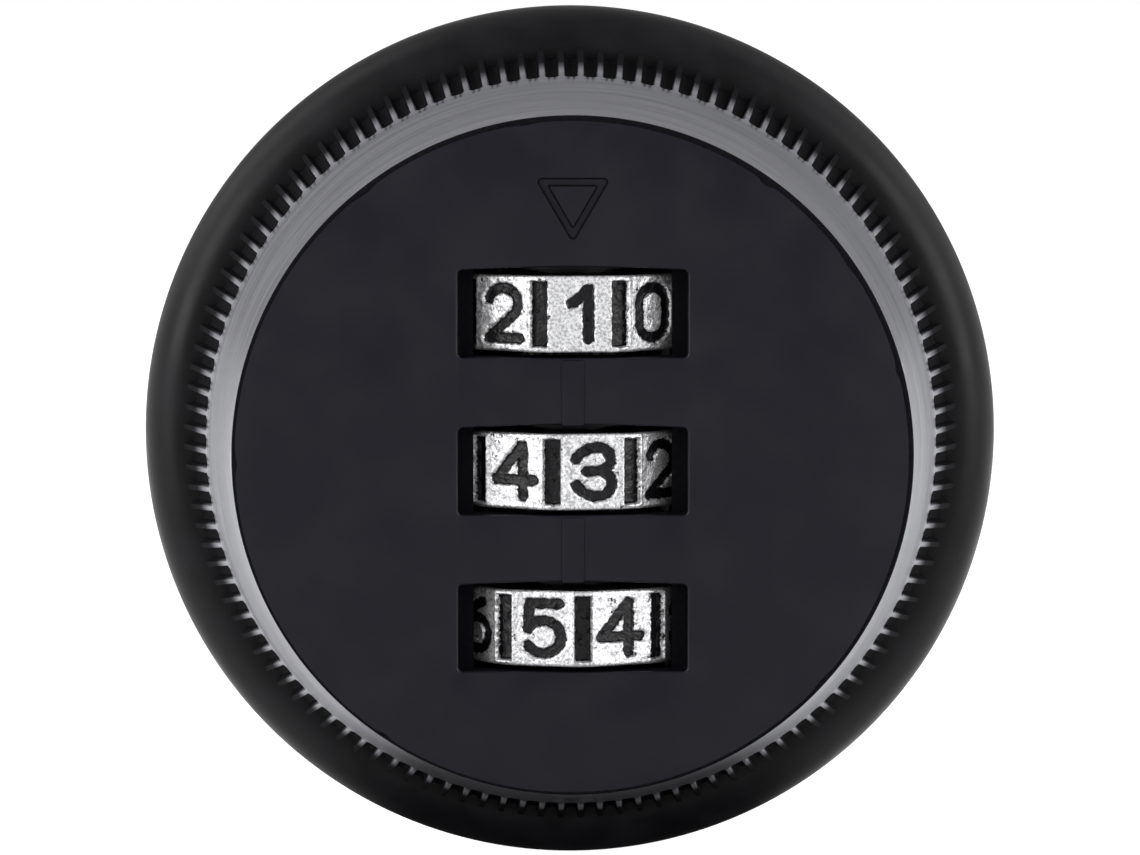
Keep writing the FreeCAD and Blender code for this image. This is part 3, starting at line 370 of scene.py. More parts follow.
class Board:
    """The node tree of a material or of the world, with short ways to add and join nodes."""

    def __init__(self, owner: bpy.types.Material | bpy.types.World) -> None:
        """Take up the tree, and the shader that it starts with.

        Args:
            owner: the material or the world.
        """
        owner.use_nodes = True
        self.owner = owner
        self.tree = owner.node_tree
        shader = "Background" if isinstance(owner, bpy.types.World) else "Principled BSDF"
        self.shader = self.tree.nodes[shader]

    def fill(self, node: bpy.types.Node, inputs: dict) -> None:
        """Join a node's inputs to sockets, or set them to values, by name or number."""
        for name, value in inputs.items():
            if isinstance(value, bpy.types.NodeSocket):
                self.tree.links.new(value, node.inputs[name])
            else:
                node.inputs[name].default_value = value

    def node(self, kind: str, inputs: dict | None = None, **settings: object) -> bpy.types.Node:
        """Add a node.

        Args:
            kind: the node's type, without its ShaderNode prefix.
            inputs: a value or a socket for each input, by name or number.
            settings: the node's own properties.

        Returns:
            The node.
        """
        made = self.tree.nodes.new("ShaderNode" + kind)
        for name, value in settings.items():
            setattr(made, name, value)
        self.fill(made, inputs or {})
        return made

    def place(self) -> bpy.types.NodeSocket:
        """Give the piece's own coordinates."""
        return self.node("TexCoord").outputs["Object"]

    def paint(self) -> bpy.types.NodeSocket:
        """Give the share of black paint that the mesh carries, which on the wheels' sides and the knurl's
        ridges is painted shade.
        """
        return self.node("Attribute", attribute_name="paint").outputs["Fac"]

    def math(self, operation: str, *values: object) -> bpy.types.NodeSocket:
        """Add a math node and give its result."""
        return self.node("Math", dict(enumerate(values)), operation=operation).outputs[0]

    def noise(self, grain: float, detail: float, roughness: float = 0.5) -> bpy.types.NodeSocket:
        """Add noise and give its value.

        Args:
            grain: the size of its larger spots in millimetres.
            detail: how many finer layers it has.
            roughness: how strong the finer layers are.

        Returns:
            The noise's value, from 0 to 1.
        """
        inputs = {"Vector": self.place(), "Scale": 1 / (grain * MM), "Detail": detail,
                  "Roughness": roughness}
        return self.node("TexNoise", inputs).outputs["Fac"]

    def ranged(self, value: bpy.types.NodeSocket, low: float, high: float, at_low: float = 0.0,
               at_high: float = 1.0, curve: str = "LINEAR") -> bpy.types.NodeSocket:
        """Map a value between low and high to another range, by a straight or smooth curve."""
        inputs = {0: value, 1: low, 2: high, 3: at_low, 4: at_high}
        return self.node("MapRange", inputs, interpolation_type=curve).outputs[0]

    def mix(self, share: bpy.types.NodeSocket, first: object, second: object) -> bpy.types.NodeSocket:
        """Mix two colours by a share."""
        return self.node("Mix", {0: share, 6: first, 7: second}, data_type="RGBA").outputs[2]

    def bump(self, height: bpy.types.NodeSocket, depth: float,
             below: bpy.types.NodeSocket | None = None) -> bpy.types.NodeSocket:
        """Add a bump of a depth in millimetres, on top of another bump or none."""
        inputs = {"Height": height, "Distance": depth * MM, "Strength": 1.0}
        if below is not None:
            inputs["Normal"] = below
        return self.node("Bump", inputs).outputs["Normal"]

    def turning_marks(self, along: float, across: float, detail: float) -> bpy.types.NodeSocket:
        """Add noise that is drawn out to turning marks round the lock's axis.

        The place's direction from the axis, scaled to the marks' length, is joined by its
        height scaled to their width, so the pattern closes with no seam.

        Args:
            along: how many marks follow one another over a radian.
            across: the marks' width in millimetres.
            detail: how many finer layers the noise has.

        Returns:
            The noise's value, from 0 to 1.
        """
        parts = self.node("SeparateXYZ", {0: self.place()}).outputs
        flat = self.node("CombineXYZ", {0: parts[0], 1: parts[2]}).outputs[0]
        reach = self.node("VectorMath", {0: flat}, operation="LENGTH").outputs["Value"]
        outward = self.node("VectorMath", {0: flat}, operation="NORMALIZE").outputs[0]
        scaled = self.node("VectorMath", {0: outward, "Scale": along}, operation="SCALE").outputs[0]
        turned = self.node("SeparateXYZ", {0: scaled}).outputs
        level = self.math("MULTIPLY", self.math("ADD", parts[1], reach), 1 / (across * MM))
        where = self.node("CombineXYZ", {0: turned[0], 1: turned[1], 2: level}).outputs[0]
        return self.node("TexNoise", {"Vector": where, "Scale": 1.0, "Detail": detail}).outputs["Fac"]

    def finish(self, colour: object, roughness: object, metallic: object = 0.0,
               normal: bpy.types.NodeSocket | None = None, specular: float = 0.5) -> bpy.types.Material:
        """Join the results to the shader, or set them on it where they are constant.

        Args:
            colour: the base colour.
            roughness: the roughness.
            metallic: the metallic share.
            normal: the bumped normal.
            specular: the specular level.

        Returns:
            The material.
        """
        inputs = {"Base Color": colour, "Roughness": roughness, "Metallic": metallic,
                  "Specular IOR Level": specular}
        if normal is not None:
            inputs["Normal"] = normal
        self.fill(self.shader, inputs)
        return self.owner


@dataclass(frozen=True)
class Coating:
    """A coat that is worn in clouds and has a fine grain.

    The cloud gives the size of its spots in millimetres and its finer layers. Wear and
    roughness follow its value, within the limits of wear and swing. Each bump gives its
    spots, its layers and its depth, from the lowest up.
    """

    name: str
    colour: tuple
    worn: tuple
    cloud: tuple
    wear: tuple
    roughness: tuple
    bumps: tuple
    swing: tuple = (0.3, 0.7)
    metallic: float = 0.0
    specular: float = 0.5

    def make(self) -> bpy.types.Material:
        """Build the material."""
        board = Board(bpy.data.materials.new(self.name))
        cloud = board.noise(*self.cloud)
        colour = board.mix(board.ranged(cloud, *self.wear), self.colour, self.worn)
        roughness = board.ranged(cloud, *self.swing, *self.roughness)
        normal = None
        for grain, detail, depth in self.bumps:
            normal = board.bump(board.noise(grain, detail), depth, normal)
        return board.finish(colour, roughness, self.metallic, normal, self.specular)


@dataclass(frozen=True)
class SatinBlack(Coating):
    """Black satin lacquer on the knob's face."""

    name: str = "satin_black"
    colour: tuple = (0.0035, 0.003, 0.008, 1.0)
    worn: tuple = (0.006, 0.0055, 0.0105, 1.0)
    cloud: tuple = (3.0, 5.0)
    wear: tuple = (0.42, 0.68)
    roughness: tuple = (0.36, 0.46)
    bumps: tuple = ((0.35, 3.0, 0.004), (0.09, 2.0, 0.0012))
    specular: float = 0.28


@dataclass(frozen=True)
class DullBlack(Coating):
    """Dull black on the face's rounded edge, in the windows and the arrow, and inside."""

    name: str = "dull_black"
    colour: tuple = (0.003, 0.0028, 0.0042, 1.0)
    worn: tuple = (0.006, 0.0058, 0.0078, 1.0)
    cloud: tuple = (0.25, 4.0)
    wear: tuple = (0.4, 0.7)
    roughness: tuple = (0.75, 0.9)
    bumps: tuple = ((0.25, 4.0, 0.004),)
    specular: float = 0.05


@dataclass(frozen=True)
class CastBlack(Coating):
    """Black coating on the flange and the barrel."""

    name: str = "cast_black"
    colour: tuple = (0.0025, 0.0024, 0.0034, 1.0)
    worn: tuple = (0.0055, 0.0054, 0.0072, 1.0)
    cloud: tuple = (2.2, 6.0)
    wear: tuple = (0.45, 0.7)
    roughness: tuple = (0.34, 0.48)
    bumps: tuple = ((0.22, 4.0, 0.004),)
    specular: float = 0.2


@dataclass(frozen=True)
class ZincPlate(Coating):
    """Bright zinc plating on steel."""

    name: str = "zinc_plate"
    colour: tuple = (0.66, 0.67, 0.68, 1.0)
    worn: tuple = (0.52, 0.53, 0.55, 1.0)
    cloud: tuple = (2.5, 5.0)
    wear: tuple = (0.35, 0.7)
    roughness: tuple = (0.26, 0.4)
    bumps: tuple = ((0.3, 3.0, 0.004),)
    swing: tuple = (0.25, 0.75)
    metallic: float = 1.0


@dataclass(frozen=True)
class SpringSteel(ZincPlate):
    """Bare spring steel, darker than the plating."""

    name: str = "spring_steel"
    colour: tuple = (0.42, 0.42, 0.43, 1.0)
    worn: tuple = (0.3, 0.29, 0.28, 1.0)
    roughness: tuple = (0.3, 0.44)
    bumps: tuple = ((0.2, 3.0, 0.004),)


@dataclass(frozen=True)
class DarkCasting(Coating):
    """Blackened casting inside the knob."""

    name: str = "dark_casting"
    colour: tuple = (0.010, 0.010, 0.011, 1.0)
    worn: tuple = (0.03, 0.03, 0.032, 1.0)
    cloud: tuple = (1.5, 5.0)
    wear: tuple = (0.5, 0.75)
    roughness: tuple = (0.45, 0.6)
    bumps: tuple = ((0.2, 4.0, 0.006),)
    metallic: float = 0.3


@dataclass(frozen=True)
class NylonWasher(Coating):
    """Off-white moulded plastic."""

    name: str = "nylon_washer"
    colour: tuple = (0.62, 0.60, 0.54, 1.0)
    worn: tuple = (0.52, 0.50, 0.44, 1.0)
    cloud: tuple = (2.0, 3.0)
    wear: tuple = (0.0, 1.0)
    roughness: tuple = (0.4, 0.52)
    bumps: tuple = ((0.3, 4.0, 0.003),)


@dataclass(frozen=True)
class DarkBrushed:
    """Dark metal with turning marks on the tapered band, and black paint on the knurl, which along the
    ridges is painted shade.
    """

    name: str = "dark_brushed"
    colour: tuple = (0.31, 0.313, 0.342, 1.0)
    bright: tuple = (0.43, 0.433, 0.468, 1.0)
    black: tuple = (0.0025, 0.0024, 0.0036, 1.0)
    fine_marks: tuple = (5.0, 0.05, 3.0)
    broad_marks: tuple = (1.6, 0.35, 4.0)
    fine_share: float = 0.55
    fine_depth: float = 0.002
    broad_depth: float = 0.006
    streaked: tuple = (0.4, 0.6)
    swing: tuple = (0.3, 0.7)
    roughness: tuple = (0.28, 0.36)
    painted_roughness: float = 0.4
    specular: float = 0.1

    def make(self) -> bpy.types.Material:
        """Build the material."""
        board = Board(bpy.data.materials.new(self.name))
        fine, broad = board.turning_marks(*self.fine_marks), board.turning_marks(*self.broad_marks)
        streaks = board.math("ADD", board.math("MULTIPLY", fine, self.fine_share),
                             board.math("MULTIPLY", broad, 1.0 - self.fine_share))
        paint = board.paint()
        metal = board.mix(board.ranged(streaks, *self.streaked), self.colour, self.bright)
        colour = board.mix(paint, metal, self.black)
        rougher = board.math("MULTIPLY", paint, self.painted_roughness)
        roughness = board.math("ADD", board.ranged(broad, *self.swing, *self.roughness), rougher)
        metallic = board.ranged(paint, 0.0, 1.0, 1.0, 0.0)
        normal = board.bump(broad, self.broad_depth, board.bump(fine, self.fine_depth))
        return board.finish(colour, roughness, metallic, normal, self.specular)


@dataclass(frozen=True)
class ChromeDial:
    """Chrome over a rough casting, with pits, black paint in the marks, and black on the wheel's sides as
    painted shade.
    """

    name: str = "chrome_dial"
    chrome: tuple = (0.93, 0.93, 0.945, 1.0)
    sandy: tuple = (0.5, 0.5, 0.515, 1.0)
    pit: tuple = (0.04, 0.04, 0.045, 1.0)
    black: tuple = (0.005, 0.005, 0.0065, 1.0)
    waves: tuple = (0.55, 3.0)
    ripples: tuple = (0.13, 3.0, 0.6)
    scars: tuple = (0.42, 6.0, 0.68)
    wave_depth: float = 0.1
    ripple_depth: float = 0.02
    scar_depth: float = 0.7
    scarred: tuple = (0.615, 0.665)
    sanded: tuple = (0.46, 0.6)
    swing: tuple = (0.3, 0.7)
    paint_sway: float = 0.2
    paint_edge: tuple = (0.42, 0.58)
    roughness: tuple = (0.46, 0.3)
    metallic: float = 0.9
    specular: float = 0.3

    def make(self) -> bpy.types.Material:
        """Build the material."""
        board = Board(bpy.data.materials.new(self.name))
        ripple = board.noise(*self.ripples)
        scar = board.ranged(board.noise(*self.scars), *self.scarred)
        sand = board.ranged(ripple, *self.sanded)
        sway = board.ranged(ripple, *self.swing, -self.paint_sway, self.paint_sway)
        edge = board.ranged(board.math("ADD", board.paint(), sway), *self.paint_edge)
        metal = board.mix(scar, board.mix(sand, self.chrome, self.sandy), self.pit)
        colour = board.mix(edge, metal, self.black)
        roughness = board.ranged(edge, 0.0, 1.0, *self.roughness)
        metallic = board.ranged(edge, 0.0, 1.0, self.metallic, 0.0)
        sunk = board.math("MULTIPLY", scar, self.scar_depth)
        dented = board.math("SUBTRACT", board.noise(*self.waves), sunk)
        normal = board.bump(ripple, self.ripple_depth, board.bump(dented, self.wave_depth))
        return board.finish(colour, roughness, metallic, normal, self.specular)


@dataclass(frozen=True)
class Line:
    """A straight stroke between two points."""

    x0: float
    z0: float
    x1: float
    z1: float

    def distance(self, x: Array, z: Array) -> Array:
        """Measure from the nearest point of the segment, found by projection."""
        run, rise = self.x1 - self.x0, self.z1 - self.z0
        share = ((x - self.x0) * run + (z - self.z0) * rise) / (run * run + rise * rise)
        share = np.clip(share, 0.0, 1.0)
        return np.hypot(x - self.x0 - share * run, z - self.z0 - share * rise)


@dataclass(frozen=True)
class Arc:
    """A stroke along an arc, anticlockwise from its first angle to its last in degrees."""

    x: float
    z: float
    radius: float
    first: float
    last: float

    def distance(self, x: Array, z: Array) -> Array:
        """Measure from the arc where the angle lies in it, and else from its nearer end."""
        first, last = math.radians(self.first), math.radians(self.last)
        dx, dz = x - self.x, z - self.z
        within = (np.arctan2(dz, dx) - first) % FULL_TURN <= last - first
        ends = [np.hypot(dx - self.radius * math.cos(end), dz - self.radius * math.sin(end))
                for end in (first, last)]
        return np.where(within, np.abs(np.hypot(dx, dz) - self.radius), np.minimum(*ends))


@dataclass(frozen=True)
class Loop:
    """A closed stroke at a radius round a straight line."""

    spine: Line
    radius: float

    def distance(self, x: Array, z: Array) -> Array:
        """Measure from the line that runs a radius away from the spine."""
        return np.abs(self.spine.distance(x, z) - self.radius)


DIGIT_STROKES: dict[int, tuple] = {
    0: (Loop(Line(0, -0.46, 0, 0.46), 0.7),),
    1: (Line(0.38, -1.14, 0.38, 1.14), Line(0.32, 1.14, 0.0, 0.72), Line(0.0, 0.72, -0.34, 0.5)),
    2: (Arc(-0.02, 0.44, 0.72, -38, 165), Line(0.55, 0.0, -0.76, -1.16), Line(-0.76, -1.16, 0.8, -1.16)),
    3: (Arc(0.24, 0.575, 0.545, -90, 90), Arc(0.2, 0.12, 1.0, 88, 152), Line(-0.22, 0.02, 0.24, 0.03),
        Arc(0.24, -0.555, 0.585, -90, 90), Arc(0.2, -0.14, 1.0, 208, 272)),
    4: (Line(0.36, -1.16, 0.36, 1.16), Line(0.3, 1.16, -0.88, -0.42), Line(-0.88, -0.42, 0.86, -0.42)),
    5: (Line(-0.58, 1.16, 0.68, 1.16), Line(-0.58, 1.16, -0.66, 0.0), Arc(0.0, -0.4, 0.76, -148, 150)),
    6: (Loop(Line(-0.02, -0.42, 0.02, -0.42), 0.74), Arc(0.8, -0.42, 1.54, 104, 180)),
    7: (Line(-0.78, 1.16, 0.78, 1.16), Line(0.78, 1.16, -0.24, -1.16)),
    8: (Loop(Line(-0.08, 0.6, 0.08, 0.6), 0.56), Loop(Line(-0.12, -0.56, 0.12, -0.56), 0.6)),
    9: (Loop(Line(-0.02, 0.42, 0.02, 0.42), 0.74), Arc(-0.8, 0.42, 1.54, -76, 0)),
}


@dataclass
class Dial:
    """One ten-digit wheel: flats with engraved digits, and grip grooves between them."""

    name: str
    body: Body
    centre: float
    front_digit: int
    front_angle: float
    axis_height: float = 9.4
    radius: float = 5.95
    flat_radius: float = 5.77
    width: float = 3.43
    edge_round: float = 0.13
    digit_count: int = 10
    stroke: float = 0.48
    stroke_depth: float = 0.22
    stroke_edge: float = 0.1
    stroke_ragged: float = 0.013
    digit_spread: float = 1.09
    digit_stretch: float = 0.97
    grip_width: float = 0.84
    grip_depth: float = 0.42
    grip_end: float = 0.2
    grip_edge: float = 0.1
    burr: float = 0.018
    burr_width: float = 0.055
    side_chrome: float = 0.08
    bore_radius: float = 2.5
    socket_radius: float = 3.25
    socket_depth: float = 0.965
    key_radius: float = 3.9
    key_width: float = 0.9
    detent_radius: float = 3.85
    detent_width: float = 0.685
    scallop_radius: float = 0.7
    scallop_offset: float = 4.25
    grip_ragged: float = 0.6
    waves: tuple = ((9.0, 13.0, 1.0, 1.0), (17.0, -7.0, 2.3, 1.0), (11.0, 23.0, -1.1, 0.8))
    wave_shift: float = 1.7
    columns: int = 840
    rows: int = 78
    edge_rows: int = 4
    sharp_angle: float = 60.0

    def sector(self, angle: Array, start: float = 0.0) -> tuple[Array, Array]:
        """Fold angles into the ten equal sectors of the wheel.

        Args:
            angle: angles in radians.
            start: the middle of sector 0.

        Returns:
            The offset from the nearest sector's middle, and that sector's number.
        """
        step = FULL_TURN / self.digit_count
        number = np.round((angle - start) / step)
        return angle - start - number * step, number.astype(int) % self.digit_count

    def outer_radius(self, angle: Array) -> Array:
        """Give the wheel's outline: the flat's distance over the cosine, cut by the circle."""
        offset, _ = self.sector(angle, math.radians(self.front_angle))
        return np.minimum(self.flat_radius / np.cos(offset), self.radius)

    def marks(self, angle: Array, level: Array) -> tuple[Array, Array]:
        """Work out how deep the digits and grooves go, from the distance to their middle lines.

        Args:
            angle: each point's angle from the front towards +X.
            level: each point's height along the wheel's axis.

        Returns:
            The depth in millimetres, and the share of black paint.
        """
        offset, number = self.sector(angle, math.radians(self.front_angle))
        across = self.flat_radius * np.tan(offset)
        uneven = self.uneven(across, level, number)
        away = np.full(across.shape, np.inf)
        for sector in range(self.digit_count):
            here = number == sector
            strokes = DIGIT_STROKES[(self.front_digit - sector) % self.digit_count]
            flat_x, flat_z = across[here] / self.digit_spread, level[here] / self.digit_stretch
            nearest = [stroke.distance(flat_x, flat_z) for stroke in strokes]
            away[here] = np.minimum.reduce(nearest)
        away += uneven
        half = self.stroke / 2
        digit = 1.0 - smooth_step(half - self.stroke_edge / 2, half + self.stroke_edge / 2, away)
        side, _ = self.sector(angle, math.radians(self.front_angle) + math.pi / self.digit_count)
        past_side = np.abs(side) * self.radius - self.grip_width / 2
        past_end = np.abs(level) - (self.width / 2 - self.grip_end)
        past = np.hypot(np.maximum(past_side, 0), np.maximum(past_end, 0))
        past = past + np.minimum(np.maximum(past_side, past_end), 0) + self.grip_ragged * uneven
        groove = 1.0 - smooth_step(-self.grip_edge, 0.0, past)
        burr = self.burr * np.exp(-(((past - self.burr_width) / self.burr_width) ** 2))
        depth = np.maximum(digit * self.stroke_depth, groove * self.grip_depth) - burr * (1.0 - digit)
        return depth, np.maximum(digit, groove)

    def uneven(self, across: Array, level: Array, number: Array) -> Array:
        """Give the raggedness of the marks' edges, as three crossing sine waves.

        Each wave has its radians per millimetre across and along, its share of the shift,
        and its strength.

        Args:
            across: each point's place across its flat.
            level: its height along the wheel's axis.
            number: its sector, which shifts the waves.

        Returns:
            The shift of the edge in millimetres.
        """
        shift = number * self.wave_shift + self.front_digit
        wave = sum(strength * np.sin(wide * across + long * level + moved * shift)
                   for wide, long, moved, strength in self.waves)
        return self.stroke_ragged * wave

    def inner_rows(self, angle: Array) -> tuple[Array, Array]:
        """Give the rows behind the rim: the socket with its key slots, the bore and the detent.

        Args:
            angle: the columns' angles from +X.

        Returns:
            The radii and the levels, a row each.
        """
        half = self.width / 2
        offset, _ = self.sector(angle)
        slotted = np.abs(self.socket_radius * np.sin(offset)) < self.key_width / 2
        socket = np.where(slotted, self.key_radius, self.socket_radius)
        chord = np.abs(self.scallop_offset * np.sin(offset))
        dip = np.sqrt(np.maximum(self.scallop_radius**2 - chord**2, 0.0))
        near = np.minimum(self.scallop_offset * np.cos(offset) - dip, self.detent_radius)
        detent = np.where(chord < self.scallop_radius, near, self.detent_radius)
        bore = np.full(angle.shape, self.bore_radius)
        low = -half - self.detent_width
        radii = [socket, socket, bore, bore, detent, detent]
        levels = [half, half - self.socket_depth, half - self.socket_depth, low, low, -half]
        return np.concatenate(radii), np.array(levels)[:, None]

    def build(self) -> bpy.types.Object:
        """Build the wheel as one closed grid, bent round its own axis.

        Returns:
            The wheel's object.
        """
        polar = columns_of(self.columns)
        front = polar + math.pi / 2
        half = self.width / 2
        outline = self.outer_radius(front)
        arc = quarter_turn(self.edge_rows)
        low_edge = outline - self.edge_round * (1 - np.sin(arc))
        low_level = -half + self.edge_round * (1 - np.cos(arc))
        level = np.linspace(-half + self.edge_round, half - self.edge_round, self.rows)[1:-1, None]
        flat_angle, flat_level = np.broadcast_arrays(front, level)
        depth, paint = self.marks(flat_angle, flat_level)
        inner_radii, inner_levels = self.inner_rows(polar)
        side = outline - self.edge_round - self.side_chrome
        radii = np.concatenate([side, low_edge, outline - depth, low_edge[::-1], side, inner_radii])
        levels = np.concatenate([[[-half]], low_level, level, -low_level[::-1], [[half]], inner_levels])
        # Painted shade: the wheel's side faces past a thin chrome rim, and its inside, are black for the
        # shade between the wheels; the flat rows take the real paint of the digits and grooves.
        paint_and_shade_rows = np.ones(radii.shape)
        start, end = 1 + self.edge_rows, 1 + self.edge_rows + len(paint)
        paint_and_shade_rows[1:end + self.edge_rows] = 0.0
        paint_and_shade_rows[start:end] = paint
        radii, levels, polar = np.broadcast_arrays(radii, levels, polar)
        points = np.stack([radii * np.cos(polar), radii * np.sin(polar) - self.axis_height,
                           levels + self.centre], axis=-1) * MM
        patch = Patch.turned(points, close_rows=True)
        patch.paint = paint_and_shade_rows.ravel()
        piece = weld(f"{self.name}_wheel", [patch], self.sharp_angle)
        piece.data.materials.append(ChromeDial(name=f"chrome_{self.name}").make())
        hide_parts(self.name)
        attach(piece, self.body.value)
        return piece


@dataclass
class Knob:
    """The knob: knurl, tapered band, and the face with its windows and arrow."""

    skirt_radius: float = 15.7
    skirt_low: float = 3.2
    back: float = 4.6
    bore_radius: float = 14.5
    knurl_radius: float = 18.1
    knurl_front_radius: float = 16.82
    knurl_front: float = 7.9
    face_radius: float = 15.3
    height: float = 15.0
    wall: float = 1.6
    face_round: float = 0.2
    round_swell: float = 0.35
    round_side: float = 50.0
    rim_rows: int = 5
    back_round: float = 0.15
    back_middle: float = 0.3
    groove_count: int = 120
    groove_width: float = 0.7
    groove_depth: float = 0.5
    groove_edge: float = 0.1
    groove_corner: float = 0.24
    groove_start: float = 0.03
    groove_hollow: float = 0.25
    fine_run: float = 0.62
    fine_rows: int = 14
    coarse_rows: int = 8
    # Painted shade along the knurl's ridges: it goes from none to full black over this run down the
    # slope.
    ridge_shade_fade: tuple = (0.0, 1.9)
    paint_depth: float = 0.3
    band_slopes: tuple = (0.30, 0.23, 0.195)
    band_rows: int = 13
    window_width: float = 10.3
    window_height: float = 3.92
    window_centres: tuple = (6.43, -0.65, -7.73)
    window_corner: float = 0.22
    window_round: float = 0.1
    window_rows: int = 4
    window_bow: float = 0.16
    bow_points: int = 13
    ledge_depth: float = 1.25
    ledge_inner: float = 4.47
    arrow_width: float = 3.2
    arrow_height: float = 2.75
    arrow_top: float = 12.45
    arrow_line: float = 0.25
    arrow_depth: float = 0.16
    arrow_round: float = 0.075
    arrow_corner: float = 0.12
    island_corner: float = 0.085
    index_width: float = 1.0
    index_relief: float = 0.05
    index_slope: float = 0.02
    index_corner: float = 0.1
    index_gap: float = 0.13
    boss_radius: float = 2.5
    boss_hole: float = 1.35
    boss_spread: float = 10.0
    reset_radius: float = 1.15
    reset_height: float = 9.4
    drill_place: float = 15.5
    drill_length: float = 4.0
    drill_sides: int = 48
    columns: int = 1920
    sharp_angle: float = 40.0
    nicks: tuple = ((55.0, 0.14, 0.35), (128.0, 0.1, 0.5), (15.0, 0.08, 0.3), (181.0, 0.1, 0.4),
                    (236.0, 0.1, 0.3), (318.0, 0.07, 0.5), (35.0, 0.06, 0.6), (98.0, 0.06, 0.4))
    piece: bpy.types.Object | None = field(default=None, init=False)

    def nick_depth(self, angle: Array) -> Array:
        """Sum the small dents in the face's edge, each a bell of its own depth and width.

        Args:
            angle: the columns' angles.

        Returns:
            The depth in millimetres at each column.
        """
        depth = np.zeros(angle.shape)
        for place, deep, wide in self.nicks:
            away = (angle - math.radians(place) + math.pi) % FULL_TURN - math.pi
            depth += deep * np.exp(-((away * self.face_radius / wide) ** 2))
        return depth

    def groove(self, radius: Array, along: Array, angle: Array) -> Array:
        """Work out how deep the knurl's grooves cut.

        A groove is a slot with a flat front end and round corners, so its depth follows the
        distance to a box that is smaller by the corners' radius all round.

        Args:
            radius: the surface's radius.
            along: the distance down the slope from the knurl's front.
            angle: the columns' angles.

        Returns:
            The depth in millimetres.
        """
        step = FULL_TURN / self.groove_count
        side = np.abs(angle - np.round(angle / step) * step) * radius
        half, corner = self.groove_width / 2, self.groove_corner
        past_side = side - half + corner
        past_front = self.groove_start + corner - along
        away = np.hypot(np.maximum(past_side, 0.0), np.maximum(past_front, 0.0)) - corner
        hollow = 1.0 - smooth_step(-self.groove_edge, 0.0, away)
        return self.groove_depth * hollow * (1.0 - self.groove_hollow * (side / half) ** 2)

    def outer_patches(self) -> tuple[list[Patch], Array]:
        """Build the skirt, the knurl, the band and the face's edge as turned grids.

        Returns:
            The patches, and the loop where the face starts.
        """
        angle = columns_of(self.columns)
        knurl_run = self.knurl_radius - self.knurl_front_radius
        knurl_rise = self.knurl_front - self.back
        slope = math.hypot(knurl_run, knurl_rise)
        fine = np.linspace(0.0, self.fine_run, self.fine_rows)
        coarse = np.linspace(self.fine_run, slope - self.back_round, self.coarse_rows)[1:]
        along = np.concatenate([fine, coarse])[::-1, None]
        radius = self.knurl_front_radius + along / slope * knurl_run
        height = self.knurl_front - along / slope * knurl_rise
        depth = self.groove(radius, along, angle)
        knurl_radius = radius - depth
        middle = self.back_round * self.back_middle
        edge = knurl_radius[:1] - np.array([[self.back_round], [middle]])
        edge_height = np.array([[self.back], [self.back + middle]])
        knurl = about_axis(np.concatenate([edge, knurl_radius]),
                           np.concatenate([edge_height, height]), angle)
        bottom = about_axis(np.array([[self.skirt_radius], [self.skirt_radius]]),
                            np.array([[self.skirt_low], [self.back]]), angle)
        back_plate = np.concatenate([bottom[1:], knurl[:1]])
        bore = about_axis(np.full((2, 1), self.bore_radius),
                          np.array([[self.skirt_low], [self.height - self.wall]]), angle)
        lip = np.concatenate([bore[:1], bottom[:1]])
        arc = quarter_turn(self.rim_rows)
        dent = self.nick_depth(angle)
        swell = 1.0 + self.round_swell * np.cos(angle - math.radians(self.round_side))
        rim_radius = self.face_radius - self.face_round * swell * (1 - np.cos(arc)) - dent * np.sin(arc)
        rim_height = self.height - self.face_round * swell * (1 - np.sin(arc))
        share = np.linspace(0.0, 1.0, self.band_rows)
        slopes = np.interp(share, (0.0, 0.5, 1.0), self.band_slopes)
        fall = np.concatenate([[0.0], np.cumsum(slopes[1:] + slopes[:-1])])
        share, fall = share[:-1, None], (fall / fall[-1])[:-1, None]
        band_radius = self.knurl_front_radius + fall * (self.face_radius - self.knurl_front_radius)
        band_height = self.knurl_front + share * (rim_height[:1] - self.knurl_front)
        band_radius, _ = np.broadcast_arrays(band_radius, angle)
        band_radius = np.concatenate([knurl_radius[-1:], band_radius[1:]])
        band = about_axis(np.concatenate([band_radius, rim_radius[:1]]),
                          np.concatenate([band_height, rim_height[:1]]), angle)
        rim = about_axis(rim_radius, rim_height, angle)
        hidden = (bore, lip, bottom, back_plate)
        parts = [Patch.turned(grid, finish=Coat.DULL) for grid in (*hidden, rim)]
        parts += [Patch.turned(grid, finish=Coat.BRUSHED) for grid in (band, knurl)]
        parts[-1].paint = self.knurl_paint_and_shade(depth, along)
        return parts, rim[-1][:, [0, 2]] / MM

    def knurl_paint_and_shade(self, depth: Array, along: Array) -> Array:
        """Leave the grooves in black paint, and let the bright metal fade out along the ridges into
        painted shade.

        Args:
            depth: the grooves' depth in each row, from the back to the front.
            along: each row's distance down the slope from the knurl's front.

        Returns:
            The share of black at each point of the knurl's grid, which has two more rows at
            the back.
        """
        sunk = smooth_step(0.0, self.paint_depth * self.groove_depth, depth)
        # Painted shade: the ridges turn black with distance from the knurl's front.
        rows = np.maximum(sunk, smooth_step(*self.ridge_shade_fade, along))
        return np.concatenate([np.ones((2, depth.shape[1])), rows]).ravel()

    def window_corners(self, low: float, high: float) -> Array:
        """Give a window's outline, whose upper edge bows up as a shallow parabola."""
        half = self.window_width / 2
        share = np.linspace(1.0, -1.0, self.bow_points)
        bowed = np.stack([half * share, high + self.window_bow * (1.0 - share**2)], axis=-1)
        return np.concatenate([[(-half, low), (half, low)], bowed])

